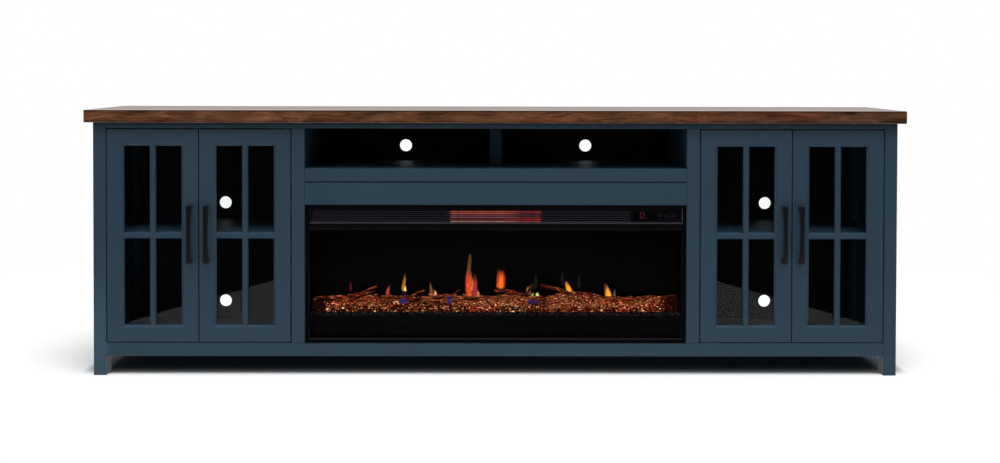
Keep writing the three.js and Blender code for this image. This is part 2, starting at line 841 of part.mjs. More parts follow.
// Sheet-steel housing: a firebox below, a heater chamber above, a flange round both windows, slots and
// the power inlet in the rear wall, and the plates and bosses that carry the two turning shafts
function housing() {
  const through = [housingFrontY - overrun, housingCavityY + overrun];
  const inside = [housingCavityY, housingRearY - housingWall];
  const shell = blockBetween([-housingHalf, housingHalf], [housingFrontY, housingRearY], [seam, housingTop]);
  const firebox = blockBetween([-cavityHalf, cavityHalf], inside, [seam + housingWall, baffleZ]);
  const chamber = blockBetween([-cavityHalf, cavityHalf], inside, [chamberFloor, housingTop - housingWall]);
  const windows = [glassZ, ventZ].map((z) => blockBetween([-openingHalf, openingHalf], through, z));
  const slots = Array.from({ length: rearSlotCount }, (_, i) => {
    const x = (i - (rearSlotCount - 1) / 2) * rearSlotPitch;
    return [-1, 1].map((row) => blockBetween(
      [x - rearSlotLength / 2, x + rearSlotLength / 2],
      [housingRearY - housingWall - overrun, housingRearY + overrun],
      [
        wheelZ + (row * rearSlotRowPitch - rearSlotHeight) / 2,
        wheelZ + (row * rearSlotRowPitch + rearSlotHeight) / 2,
      ],
    ));
  }).flat();
  const inletX = cavityHalf - inletEdgeDistance;
  const inlet = placed(
    prism(alongY, roundedRectangle(inletWidth, inletHeight, inletCorner), inletDepth + housingWall),
    inletX,
    housingRearY + (inletDepth - housingWall) / 2,
    inletAboveFloor,
  );
  const inletBore = placed(
    rod(alongY, inletBoreRadius, 2 * inletDepth),
    inletX,
    housingRearY + inletDepth,
    inletAboveFloor,
  );
  const brackets = [-1, 1].map((side) => {
    const x = side * (wheelLength / 2 + bracketGap + bracketThickness / 2);
    return blockBetween(
      [x - bracketThickness / 2, x + bracketThickness / 2],
      [wheelDepth - bracketWidth / 2, wheelDepth + bracketWidth / 2],
      [chamberFloor - housingWall / 2, wheelZ + bracketMargin],
    );
  });
  const bosses = [-1, 1].map((side) => {
    const boss = rod(alongX, bearingRadius, bearingLength + housingWall / 2, holeSides);
    return placed(boss, side * (cavityHalf - (bearingLength - housingWall / 2) / 2), rotorDepth, rotorHeight);
  });
  const wheelBoreLength = wheelLength + 2 * (bracketThickness + overrun);
  const wheelBore = placed(
    rod(alongX, wheelShaftRadius + bearingClearance, wheelBoreLength, holeSides),
    0,
    wheelDepth,
    wheelZ,
  );
  const rotorBore = placed(
    rod(alongX, rotorShaftRadius + bearingClearance, 2 * cavityHalf - housingWall, holeSides),
    0,
    rotorDepth,
    rotorHeight,
  );
  const open = cut(shell, [firebox, chamber, ...windows, ...slots]);
  const fitted = join([open, ...brackets, ...bosses, inlet]);
  return piece('firebox_housing', cut(fitted, [wheelBore, rotorBore, inletBore]), blackSteel);
}

// The vent grille: a rim with a deep upper member, sloping louvres, and upright guard ribs behind them
// in front of the heater
function ventGrille() {
  const x = [seam - openingHalf, openingHalf - panelWidth - 2 * seam];
  const z = [ventZ[0] + seam, ventZ[1] - seam];
  const [midX, midZ] = [x, z].map(([low, high]) => (low + high) / 2);
  const window = [x[0] + grilleRim - midX, x[1] - grilleRim - midX];
  const windowZ = [z[0] + grilleRim, z[1] - grilleTopRim];
  const hole = rectangleBetween(window, windowZ.map((value) => value - midZ));
  const rim = placed(
    prism(alongY, rectangle(x[1] - x[0], z[1] - z[0]), grilleDepth, { holes: [hole] }),
    midX,
    insertGap + grilleDepth / 2,
    midZ,
  );
  const pitch = (windowZ[1] - windowZ[0]) / louvreCount;
  const front = insertGap;
  const back = insertGap + grilleDepth / 2;
  const louvres = Array.from({ length: louvreCount }, (_, i) => {
    const low = windowZ[0] + (i + 1 / 2) * pitch;
    const section = [
      [front, low - louvreDrop / 2],
      [back, low + louvreDrop / 2],
      [back, low + louvreDrop / 2 + louvreThickness],
      [front, low - louvreDrop / 2 + louvreThickness],
    ];
    return placed(prism(alongX, section, window[1] - window[0] + grilleRim), midX, 0, 0);
  });
  const ribs = Array.from({ length: guardRibCount }, (_, i) => {
    const ribX = (i - (guardRibCount - 1) / 2) * guardRibPitch;
    return blockBetween(
      [ribX - guardRibWidth / 2, ribX + guardRibWidth / 2],
      [back - guardRibWidth, insertGap + grilleDepth],
      [windowZ[0] - grilleRim / 2, windowZ[1] + grilleRim / 2],
    );
  });
  return piece('vent_grille', join([rim, ...louvres, ...ribs]), blackMetal);
}

// Control panel: a plate with a sunk screen and a row of keys that pass through it
const panelX = openingHalf - seam - panelWidth / 2;
const panelZ = (ventZ[0] + ventZ[1]) / 2;

function keyPlaces() {
  const last = panelX + screenWidth / 2 - firstKeyFromRight;
  return Array.from({ length: keyCount }, (_, i) => last - (keyCount - 1 - i) * keyPitch);
}

function controlPanel() {
  const plate = placed(
    prism(alongY, rectangle(panelWidth, ventHeight - 2 * seam), bezelThickness, { arris: bezelArris }),
    panelX,
    bezelThickness / 2,
    panelZ,
  );
  const screenOutline = roundedRectangle(screenWidth, screenHeight, screenCorner);
  const sunk = placed(
    prism(alongY, screenOutline, 2 * screenRecess, { segments: 2 }),
    panelX,
    0,
    panelZ,
  );
  const [w, h] = [keyWidth + 2 * keyClearance, keyHeight + 2 * keyClearance];
  const holes = keyPlaces().map((x) => placed(
    prism(alongY, roundedRectangle(w, h, keyCorner), 2 * bezelThickness + overrun, { segments: 3 }),
    x,
    bezelThickness / 2,
    panelZ,
  ));
  return piece('control_panel', cut(plate, [sunk, ...holes]), blackPlastic);
}

function panelKey(number, x) {
  const front = screenRecess - keyProud;
  const length = bezelThickness + seam - front;
  const outline = roundedRectangle(keyWidth, keyHeight, keyCorner);
  const cap = placed(
    prism(alongY, outline, length + keyFlangeThickness, { segments: 3 }),
    x,
    front + (length + keyFlangeThickness) / 2,
    panelZ,
  );
  const flange = placed(
    prism(alongY, rectangle(keyWidth + 2 * keyFlange, keyHeight + 2 * keyFlange), keyFlangeThickness),
    x,
    bezelThickness + seam + keyFlangeThickness / 2,
    panelZ,
  );
  return piece(`panel_key_${number}`, join([cap, flange]), blackPlastic);
}

// Quartz heater: two tubes in a trough reflector with end plates
function quartzHeater() {
  const [front, rear] = [heaterSetback, heaterSetback + heaterDepth];
  const [low, high] = [chamberFloor + seam, housingTop - housingWall - heaterTopGap];
  const wall = heaterWall;
  const section = [
    [front, low], [rear, low], [rear, high], [front, high],
    [front, high - wall], [rear - wall, high - wall], [rear - wall, low + wall], [front, low + wall],
  ];
  const trough = prism(alongX, section, heaterLength);
  const ends = [-1, 1].map((side) => {
    const x = [heaterLength / 2 - wall, heaterLength / 2].map((value) => side * value).sort((a, b) => a - b);
    return blockBetween(x, [front, rear], [low, high]);
  });
  const tubes = [-1, 1].map((row) => placed(
    rod(alongX, tubeRadius, heaterLength - wall),
    0,
    heaterSetback + tubeDepth,
    ventSill + tubeRise + row * tubeSpacing / 2,
  ));
  return piece('quartz_heater', join([trough, ...ends, ...tubes]), glowingQuartz);
}

// Cross-flow blower wheel: swept blades between discs, on a shaft that turns in the housing's plates
function blowerWheel() {
  const sweep = THREE.MathUtils.degToRad(bladeSweepDegrees);
  const bladeAngle = 2 * Math.PI / bladeCount;
  const line = (offset) => [0, 1 / 2, 1].map((share) => {
    const radius = THREE.MathUtils.lerp(wheelInnerRadius, wheelRadius, share) + offset / 2;
    const angle = sweep * share * share - offset / radius;
    return [radius * Math.cos(angle), radius * Math.sin(angle)];
  });
  const bladeOutline = [...line(bladeThickness / 2), ...line(-bladeThickness / 2).reverse()];
  const blades = Array.from({ length: bladeCount }, (_, i) => {
    const blade = prism(alongZ, bladeOutline, wheelLength - wheelDiscThickness).rotateZ(i * bladeAngle);
    return blade.applyMatrix4(alongX);
  });
  const discX = (wheelLength - wheelDiscThickness) / 2;
  const discs = [-discX, 0, discX].map((x) => {
    return placed(rod(alongX, wheelRadius + bladeThickness, wheelDiscThickness, holeSides), x, 0, 0);
  });
  const shaft = rod(alongX, wheelShaftRadius, wheelLength + 2 * wheelShaftOverhang);
  return piece('blower_wheel', join([...discs, shaft, ...blades]), brightSteel, 0, wheelDepth, wheelZ);
}

// Ember bed: a moulded shell, heaped along its length, with a straight apron down to the housing
const bedHalf = cavityHalf - bedSideGap;
const bedShares = [0, 0.1, 0.25, 0.45, 0.65, 0.85, 1];

function bedStationXs() {
  return Array.from({ length: bedStations + 1 }, (_, i) => bedHalf * (2 * i / bedStations - 1));
}

function bedDepth(share) {
  return THREE.MathUtils.lerp(bedFront + bedShell, bedBack, share);
}

function bedTop(x, share) {
  const rise = THREE.MathUtils.lerp(bedFrontHeight, bedRearHeight, Math.sqrt(share));
  const turn = 2 * Math.PI * x / heapLength;
  const waves = (Math.sin(turn) + Math.sin(turn / Math.sqrt(2))) / 2;
  return rise + bedHeap * waves * Math.sin(Math.PI * share);
}

function emberBed() {
  const base = housingWall + 2 * seam;
  const inner = bedFront + bedShell;
  const stations = bedStationXs().map((x) => {
    const upper = bedShares.map((share) => [bedDepth(share), bedTop(x, share)]);
    const under = bedShares.slice(1).map((share) => [
      THREE.MathUtils.lerp(inner, bedBack - bedShell, share),
      bedTop(x, share) - bedShell,
    ]);
    const apron = [[bedFront, base], [inner, base], [inner, bedLipHeight - bedShell]];
    const rear = [[bedBack - bedShell, base], [bedBack, base]];
    return { x, outline: [...apron, ...under, ...rear, ...upper.reverse(), [bedFront, bedLipHeight]] };
  });
  return piece('ember_bed', loftAlongX(stations), embers);
}

// Branches lie across one another on the bed. Each row names a start and an end, as shares of the
// bed's length, of its depth and of the lift over its surface
const branchShares = [
  [[0.02, 0.5, 0], [0.21, 0.62, 1]],
  [[0.06, 0.5, 0], [0.27, 0.35, 0.1]],
  [[0.24, 0.38, 0.05], [0.42, 0.6, 0.5]],
  [[0.27, 0.42, 0.1], [0.37, 0.72, 1]],
  [[0.36, 0.52, 0.3], [0.57, 0.42, 0.1]],
  [[0.53, 0.44, 0.15], [0.68, 0.66, 1]],
  [[0.55, 0.47, 0.2], [0.8, 0.45, 0.1]],
  [[0.57, 0.75, 1.1], [0.62, 0.57, 0.62]],
];

function branch([start, end]) {
  const stations = Array.from({ length: branchSteps + 1 }, (_, i) => {
    const share = i / branchSteps;
    const between = start.map((value, k) => THREE.MathUtils.lerp(value, end[k], share));
    const [alongShare, depthShare, liftShare] = between;
    const x = bedHalf * (2 * alongShare - 1);
    const radius = branchRadius * THREE.MathUtils.lerp(1, branchTipShare, share);
    const lift = branchLift * liftShare - branchSag * Math.sin(Math.PI * share);
    const centre = [bedDepth(depthShare), bedTop(x, depthShare) + radius / 2 + Math.max(lift, 0)];
    return { x, outline: circle(radius, branchSides, ...centre) };
  });
  return loftAlongX(stations);
}

function branches() {
  const bedBlock = bedStationXs().map((x) => ({
    x,
    outline: [
      [bedFront - overrun, seam],
      [bedBack + overrun, seam],
      ...bedShares.map((share) => [bedDepth(share), bedTop(x, share) + seam]).reverse(),
    ],
  }));
  return piece('branches', cut(join(branchShares.map(branch)), [loftAlongX(bedBlock)]), charredBranch);
}

function flameScreen() {
  const half = cavityHalf - 2 * seam;
  const y = [flameScreenDepth, flameScreenDepth + flameScreenThickness];
  const z = [flameScreenSill, baffleZ - 2 * seam];
  return board('flame_screen', screenSheet, alongY, [-half, half], y, z);
}

// Flame rotor: bright fins set round a shaft in a long spiral, so that their reflections flicker
function flameRotor() {
  const shaftHalf = cavityHalf - bearingLength / 2;
  const finCount = Math.floor(2 * (cavityHalf - bearingLength - finWidth) / finPitch);
  const fins = Array.from({ length: finCount }, (_, i) => {
    const petal = prism(alongY, rectangleBetween([-finWidth / 2, finWidth / 2], [0, finReach]), finThickness);
    const turned = petal.rotateX(THREE.MathUtils.degToRad(i * finTurnDegrees));
    return placed(turned, (i - (finCount - 1) / 2) * finPitch, 0, 0);
  });
  const shaft = rod(alongX, rotorShaftRadius, 2 * shaftHalf);
  return piece('flame_rotor', join([shaft, ...fins]), brightSteel, 0, rotorDepth, rotorHeight);
}

function fireplaceInsert() {
  const group = new THREE.Group();
  group.position.set(0, frontY + insertSetback, floorTopZ);
  group.add(
    bezel(),
    viewingGlass(),
    housing(),
    ventGrille(),
    controlPanel(),
    ...keyPlaces().map((x, i) => panelKey(i + 1, x)),
    quartzHeater(),
    blowerWheel(),
    emberBed(),
    branches(),
    flameScreen(),
    flameRotor(),
  );
  return group;
}

const stand = new THREE.Group();
stand.add(
  top(),
  ...legs(),
  topRail(),
  bottomRail(),
  centreStile('centre_stile_left', -1),
  centreStile('centre_stile_right', 1),
  sidePanel('side_panel_left', -1),
  sidePanel('side_panel_right', 1),
  partition('partition_left', -1),
  partition('partition_right', 1),
  cabinetFloor(),
  ...backPanels(),
  mediaShelf(),
  mediaDivider(),
  fascia(),
  adjustableShelf('adjustable_shelf_left', -1),
  adjustableShelf('adjustable_shelf_right', 1),
  ...doors(),
  fireplaceInsert(),
);

export default stand;
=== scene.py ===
# Looks of the fireplace TV stand: materials, the fire and its embers, the stage, the light and the camera.
# Metres, +Z up, the front faces -Y.

import math
import random

import bmesh
import bpy
from mathutils import Matrix, Vector, noise
from mathutils.bvhtree import BVHTree


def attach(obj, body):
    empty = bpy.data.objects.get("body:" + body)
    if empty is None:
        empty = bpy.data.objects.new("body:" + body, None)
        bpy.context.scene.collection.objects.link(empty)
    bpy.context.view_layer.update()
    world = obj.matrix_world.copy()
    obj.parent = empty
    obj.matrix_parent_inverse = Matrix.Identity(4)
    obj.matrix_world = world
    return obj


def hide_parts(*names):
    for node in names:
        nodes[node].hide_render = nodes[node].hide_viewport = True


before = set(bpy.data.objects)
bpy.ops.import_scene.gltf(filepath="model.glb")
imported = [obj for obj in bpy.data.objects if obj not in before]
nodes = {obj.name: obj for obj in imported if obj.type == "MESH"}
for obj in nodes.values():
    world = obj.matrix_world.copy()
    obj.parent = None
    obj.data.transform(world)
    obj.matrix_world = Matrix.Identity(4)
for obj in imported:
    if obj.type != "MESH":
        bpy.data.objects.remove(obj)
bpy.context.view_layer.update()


def box(name):
    """The ends of a node along x, y and z."""
    return [(min(ends), max(ends)) for ends in zip(*(vertex.co for vertex in nodes[name].data.vertices))]


# Camera, fitted to the photograph
CAMERA_PLACE = (-0.00908, -3.9284, 0.92607)
CAMERA_YAW, CAMERA_PITCH, CAMERA_ROLL = (math.radians(v) for v in (0.32, 1.06, 0.12))
CAMERA_LENS = 44.92
CAMERA_SHIFT = -0.14

# Colours, linear
WHITE = 1.0
PAINT_LIGHT = (0.0212, 0.0475, 0.073)
PAINT_DARK = (0.0186, 0.043, 0.0675)
WOOD_STOPS = [
    (0.3, (0.026, 0.0085, 0.004)),
    (0.41, (0.072, 0.0265, 0.012)),
    (0.5, (0.118, 0.045, 0.0205)),
    (0.59, (0.172, 0.069, 0.032)),
    (0.72, (0.255, 0.112, 0.056)),
]
UNDERSIDE, TOP = box("top_panel")[2]
# Painted shade and highlight along the upper and the lower arris of the top's front: heights, and what
# multiplies the wood there
UPPER_PAINTED_SHADE, LOWER_PAINTED_SHADE, LOWER_PAINTED_HIGHLIGHT = (0.36, 0.32, 0.34), (0.6, 0.66, 0.76), (0.95, 1.3, 1.75)
ARRIS_ABOVE_PAINTED_SHADE = (
    (TOP - 0.0045, TOP + 0.0005),
    [(0.0, WHITE), (0.16, UPPER_PAINTED_SHADE), (0.8, UPPER_PAINTED_SHADE), (0.88, WHITE)],
)
ARRIS_BELOW_PAINTED_LIGHT = (
    (UNDERSIDE - 0.0005, UNDERSIDE + 0.0075),
    [(0.0, LOWER_PAINTED_HIGHLIGHT), (0.3, LOWER_PAINTED_HIGHLIGHT), (0.38, LOWER_PAINTED_SHADE), (0.72, LOWER_PAINTED_SHADE), (0.95, WHITE)],
)
# Planks of the top, and where its upper face, its paler right end and its glossier front begin and end
PLANK_SHIFT, PLANK_LENGTH, PLANK_WIDTH, PLANK_JOINT = (0.107, 0.223, 0.0), 1.24, 0.089, 0.0009
TOP_FACE, RIGHT_PLANK, SHEEN_DEPTH = (TOP - 0.0012, TOP - 0.0004), (0.62, 0.72), (-0.19, -0.1)
# Heights of the grain's relief, and how wide the boards' arrises are eased
FINE_RELIEF, WOOD_RELIEF, ARRIS_WIDTH = 0.0002, 0.0006, 0.0011
# Black metals and plastics: darker and lighter tone, roughness, gloss and grain
BLACKS = {
    "black_front_metal": ((0.0018, 0.0018, 0.0022), (0.003, 0.003, 0.0036), (0.5, 0.65), 0.012, 260.0),
    "housing_steel": ((0.0018, 0.0016, 0.0024), (0.0028, 0.0026, 0.0038), (0.6, 0.8), 0.012, 260.0),
    "black_plastic": ((0.002, 0.002, 0.0028), (0.0032, 0.0032, 0.0042), (0.2, 0.3), 0.04, 120.0),
    "key_plastic": ((0.005, 0.005, 0.0065), (0.0075, 0.0075, 0.0095), (0.25, 0.35), 0.08, 120.0),
    # One trim metal in copies with painted light: lit, half lit and in shade
    "painted_lit_trim": ((0.024, 0.023, 0.027), (0.034, 0.033, 0.038), (0.4, 0.5), 0.1, 260.0),
    "painted_half_lit_trim": ((0.009, 0.0085, 0.01), (0.014, 0.013, 0.015), (0.4, 0.5), 0.05, 260.0),
    "painted_shade_trim": ((0.0018, 0.0018, 0.002), (0.003, 0.003, 0.0034), (0.5, 0.6), 0.02, 260.0),
    "display_lens": ((0.001, 0.001, 0.0012), (0.0018, 0.0018, 0.0022), (0.1, 0.16), 0.06, 90.0),
}

# Light: name, azimuth, elevation, softness and strength of each lamp
SUNS = (
    ("key", 16.0, 73.0, 50.0, 3.15),
    ("fill", -20.0, 18.0, 60.0, 0.36),
)
WORLD_LIGHT = 0.16
FLOOR_TONE = 0.95
# Colour of the painted shadow on the floor under the object
PAINTED_SHADOW_TONE = (0.066, 0.074, 0.08)
# Shares of white that the floor shows by itself: beside the object, and ahead of it
BESIDE_WHITE, AHEAD_WHITE = 0.0, 0.8
# Painted shadow on the floor under the object, by depth: full well inside, and nothing at the front
PAINTED_SHADOW_STOPS = [
    (0.0, 1.0), (0.2, 0.985), (0.31, 0.95), (0.365, 0.895), (0.425, 0.78), (0.505, 0.57), (0.6, 0.31),
    (0.7, 0.09), (0.8, 0.0),
]
PAINTED_SHADOW_SIDE, PAINTED_SHADOW_DEPTH = (1.225, 1.262), (0.025, 0.205)
# Where the floor turns white by itself, by depth and by distance, and the edge of the pool that mirrors see
WHITE_DEPTH, WHITE_AWAY = (-0.198, -0.145), (1.33, 2.8)
POOL_FROM, POOL_SPREAD, POOL_EDGE = -0.16, 0.417, (1.655, 1.675)

# Heater: place of each band from its foot to its top, its glow at the left and at the right
HEATER_LEVEL = 2.45
HEATER_Z, HEATER_TURN = (0.4555, 0.4955), (0.01, 0.09)
HEATER_GLOW = (
    (0.08, (0.11, 0.061, 0.06), (0.12, 0.04, 0.04)),
    (0.23, (0.047, 0.004, 0.001), (0.2, 0.011, 0.01)),
    (0.38, (0.076, 0.018, 0.012), (0.14, 0.01, 0.01)),
    (0.53, (0.058, 0.011, 0.021), (0.032, 0.012, 0.015)),
    (0.68, (0.11, 0.02, 0.016), (0.038, 0.01, 0.01)),
    (0.84, (0.15, 0.006, 0.001), (0.13, 0.006, 0.01)),
    (0.96, (0.08, 0.004, 0.001), (0.08, 0.002, 0.004)),
)
# Painted glow of the heater's light on the louvres, from the lowest louvre to the topmost
LOUVRE_Z, LOUVRE_TURN = (0.4625, 0.4985), (0.02, 0.08)
LOUVRE_PAINTED_GLOW = (
    (0.08, (0.26, 0.12, 0.095), (0.18, 0.022, 0.024)),
    (0.25, (0.033, 0.004, 0.002), (0.21, 0.012, 0.013)),
    (0.41, (0.18, 0.076, 0.093), (0.07, 0.02, 0.02)),
    (0.58, (0.1, 0.031, 0.036), (0.03, 0.015, 0.018)),
    (0.75, (0.37, 0.087, 0.053), (0.095, 0.008, 0.01)),
    (0.92, (0.25, 0.05, 0.022), (0.2, 0.02, 0.03)),
)
# Where the louvres carry a painted highlight and the heater's painted glow: by depth and height, from left
# to right, and half the length that the heater warms
LOUVRE_FRONT, LOUVRE_TOP = (-0.1733, -0.1721), (0.497, 0.4985)
LOUVRE_START, LOUVRE_END, HEATER_HALF = (-0.558, -0.55), (0.4045, 0.406), (0.135, 0.1385)
# Colour of the painted highlight along the louvres' front edges
LOUVRE_PAINTED_HIGHLIGHT = (0.024, 0.0225, 0.03)

# Front plate of the insert: its face, its windows, and the display with a plain digit
BEZEL_FRONT = box("front_bezel")[1][0]
TRIM_SUNK, TRIM_PROUD, TRIM_INSIDE = 0.0002, 0.0011, 0.0001
BEAD_PROUD, BEAD_HALF = 0.0003, 0.0009
VENT_OUTER, VENT_INNER = ((-0.5645, 0.564), (0.4576, 0.506)), ((-0.557, 0.5612), (0.4624, 0.502))
GLASS_OUTER, GLASS_INNER = ((-0.5645, 0.564), (0.1072, 0.4395)), ((-0.56, 0.56), (0.1112, 0.437))
GROOVE_Z = 0.4424
LENS_X, LENS_Z = (0.4168, 0.487), (0.469, 0.495)
LENS_BACK, LENS_FRONT = -0.17305, -0.17385
LENS_RADIUS, LENS_CHAMFER = 0.0022, 0.0004
DIGIT_X, DIGIT_Z = (0.4345, 0.448), (0.4742, 0.4935)
DIGIT_STROKE, DIGIT_GAP, DIGIT_POINT = 0.0032, 0.0004, 0.453
DIGIT_SUNK, DIGIT_PROUD, DIGIT_CHAMFER = 0.0001, 0.00025, 0.0003
DIGIT_STOPS = [(0.1, (0.012, 0.001, 0.002)), (0.6, (0.055, 0.007, 0.012)), (1.0, (0.12, 0.02, 0.034))]

# Painted shade on the paint close under the top, from 45 mm below it to the top itself
TOP_SHADE_Z = (UNDERSIDE - 0.045, UNDERSIDE)
TOP_SHADE = [(0.0, 1.0), (0.33, 0.9), (0.64, 0.8), (0.8, 0.66), (0.9, 0.46), (1.0, 0.36)]
# Painted shade of the shelves from their front to their back, and of the divider, which stands far back
SHELF_PAINTED_SHADE = [(0.0, (0.95, 0.92, 0.9)), (0.45, (1.05, 1.02, 1.0)), (1.0, (0.5, 0.6, 0.62))]
DIVIDER_PAINTED_SHADE = (0.36, 0.33, 0.32)
SHELF_DEPTH, DIVIDER_DEPTH = (-0.15, 0.13), (-0.06, 0.19)
# Where painted light and shade begin and end: painted light at the left leg's foot, painted shade along the
# seam under the insert and in the gaps behind the outer legs and the front, painted light and shade inside
# the side panels, and painted light on the inner face of the left back panel
FOOT_X, FOOT_Y, FOOT_Z = (-1.172, -1.162), (-0.178, -0.165), (0.17, 0.33)
SEAM_LOW, SEAM_HIGH, SEAM_END = (0.0955, 0.0972), (0.098, 0.0985), (0.57, 0.578)
LEG_SIDE, GAP_DEPTH = (1.195, 1.205), (-0.172, -0.164)
PANEL_INSIDE, LEFT_PAINTED_LIGHT_X, BOARD_INSIDE = (1.176, 1.184), (-1.1, -0.85), (0.2005, 0.2015)

# Fire: pebbles of the bed, twigs across it and flames on the screen behind it
PEBBLE_POINTS, PEBBLE_SHARES = 10, ((0.9, 1.5), (0.6, 0.9), (0.55, 0.8))
EMBER_COUNT, FRONT_ROW, LIP_COUNT, SMALL_TWIGS = 3800, 130, 1100, 84
EMBER_SIZE, HEAP_SIZE, ROW_SIZE = (0.0032, 0.006), (0.003, 0.0052), (0.0036, 0.0052)
LIP_SIZE, BLUE_SIZE = (0.0022, 0.0036), (0.0055, 0.0075)
# The bed's ends and depth, and where its pebbles lie: all over it, in a row along its front, and on its lip
(_, BED_END), (BED_LIP, BED_BACK), (_, BED_TOP) = box("ember_bed")
BED_HALF, ROW_HALF, LIP_HALF = BED_END - 0.006, BED_END - 0.013, BED_END - 0.005
BED_FRONT, BED_REAR, LIP_DEPTH = BED_LIP + 0.0055, BED_BACK - 0.0025, (BED_LIP + 0.0002, BED_LIP + 0.0042)
TONE_SPREAD, EVEN_GRAIN = 0.17, (300.0, 300.0, 300.0)
# Painted light and shade on glowing pieces: faces that turn to this side are brighter, the others darker
GLOW_PAINTED_LIGHT_SIDE = (0.0, -0.55, 0.83)
GLOW_PAINTED_SHADE = [(0.0, (0.1, 0.05, 0.04)), (0.45, (0.58, 0.44, 0.38)), (1.0, 1.45)]
EMBER_STOPS = [
    (0.0, (0.004, 0.001, 0.0005)),
    (0.28, (0.04, 0.0045, 0.0012)),
    (0.48, (0.105, 0.013, 0.003)),
    (0.7, (0.245, 0.047, 0.013)),
    (0.9, (0.6, 0.26, 0.13)),
    (1.0, (1.0, 0.65, 0.4)),
]
# How the embers' hue wanders from red through plain to golden
EMBER_HUES = [(0.38, (1.2, 0.62, 0.5)), (0.5, (1.03, 0.97, 0.9)), (0.62, (1.0, 1.13, 0.72))]
# Heaps of the bed: x, half their width, their rise and number of pebbles; they start at a share of its depth
HEAPS = (
    (-0.42, 0.06, 0.006, 420),
    (0.03, 0.08, 0.006, 460),
    (0.245, 0.09, 0.0165, 1600),
    (0.455, 0.08, 0.0045, 300),
)
HEAP_START = 0.12
DARK_PATCHES = ((-0.315, 0.035), (-0.175, 0.05), (0.115, 0.05))
PALE_PEBBLES = ((-0.309, -0.134, 0.0072), (-0.301, -0.132, 0.0078), (-0.294, -0.134, 0.0062))
# Blue glows: x, y, half their width and depth, tone, number of pebbles
BLUE_GLOWS = (
    (-0.283, -0.132, 0.0095, 0.0085, 0.6, 34),
    (-0.1402, -0.13, 0.0045, 0.012, 0.66, 22),
    (0.1163, -0.133, 0.014, 0.005, 0.35, 24),
)
# Ash on the bed's lip; its glow is painted light from the embers
ASH_STOPS = [
    (0.1, (0.0012, 0.0017, 0.002)),
    (0.5, (0.0115, 0.0125, 0.014)),
    (0.9, (0.052, 0.041, 0.042)),
]
BLUE_STOPS = [
    (0.2, (0.014, 0.006, 0.04)),
    (0.6, (0.026, 0.026, 0.19)),
    (0.9, (0.05, 0.048, 0.3)),
]
BARK_STOPS = [
    (0.0, (0.003, 0.0015, 0.001)),
    (0.22, (0.022, 0.005, 0.002)),
    (0.42, (0.105, 0.02, 0.006)),
    (0.62, (0.26, 0.068, 0.026)),
    (0.92, (0.56, 0.27, 0.13)),
]
TWIG_X, TWIG_Y, TWIG_LENGTH, TWIG_RADIUS = (-0.52, 0.45), (-0.132, -0.095), (0.03, 0.095), (0.001, 0.0021)
TWIGS = (
    ((-0.559, -0.118, 0.217, 0.0095), (-0.508, -0.115, 0.221, 0.008), (-0.453, -0.112, 0.224, 0.0065),
     (-0.411, -0.108, 0.237, 0.005), (-0.365, -0.104, 0.256, 0.003)),
    ((-0.46, -0.13, 0.214, 0.006), (-0.415, -0.124, 0.229, 0.005), (-0.373, -0.118, 0.245, 0.003)),
    ((-0.373, -0.11, 0.222, 0.004), (-0.324, -0.112, 0.223, 0.0035), (-0.281, -0.114, 0.22, 0.003)),
    ((-0.286, -0.128, 0.214, 0.0055), (-0.256, -0.12, 0.23, 0.0045), (-0.217, -0.112, 0.245, 0.003)),
    ((-0.262, -0.132, 0.217, 0.006), (-0.207, -0.128, 0.222, 0.0055), (-0.158, -0.124, 0.226, 0.0035)),
    ((-0.15, -0.1, 0.222, 0.0035), (-0.128, -0.098, 0.232, 0.003), (-0.11, -0.096, 0.244, 0.002)),
    ((-0.115, -0.122, 0.221, 0.006), (-0.048, -0.118, 0.223, 0.0055), (0.032, -0.112, 0.227, 0.0045)),
    ((-0.005, -0.1, 0.243, 0.0055), (0.029, -0.102, 0.241, 0.006), (0.066, -0.106, 0.235, 0.0055),
     (0.1, -0.112, 0.227, 0.004)),
    ((0.137, -0.098, 0.26, 0.0045), (0.165, -0.102, 0.253, 0.0055), (0.198, -0.108, 0.246, 0.0055),
     (0.229, -0.112, 0.236, 0.004)),
    ((0.094, -0.105, 0.226, 0.004), (0.103, -0.1, 0.243, 0.0045), (0.111, -0.096, 0.26, 0.003)),
    ((0.204, -0.118, 0.222, 0.0035), (0.235, -0.114, 0.234, 0.0035), (0.278, -0.11, 0.236, 0.0032),
     (0.321, -0.108, 0.224, 0.0025)),
    ((0.31, -0.1, 0.222, 0.004), (0.383, -0.104, 0.217, 0.0045), (0.475, -0.106, 0.216, 0.004),
     (0.55, -0.104, 0.225, 0.003)),
    ((0.471, -0.098, 0.215, 0.0045), (0.523, -0.097, 0.223, 0.005), (0.556, -0.096, 0.227, 0.0045)),
)
FLAME_BACK, FLAME_BULGE = box("flame_screen")[1][0] - 0.0003, 0.0012
FLAME_LEVEL = 1.25
# Colours of more than one flame: of its core, its rim and its tip
AMBER = ((1.0, 0.47, 0.028), (0.62, 0.13, 0.004), (0.8, 0.26, 0.05))
GHOST = ((0.014, 0.0105, 0.0055), (0.005, 0.0035, 0.002), (0.006, 0.0045, 0.0025))
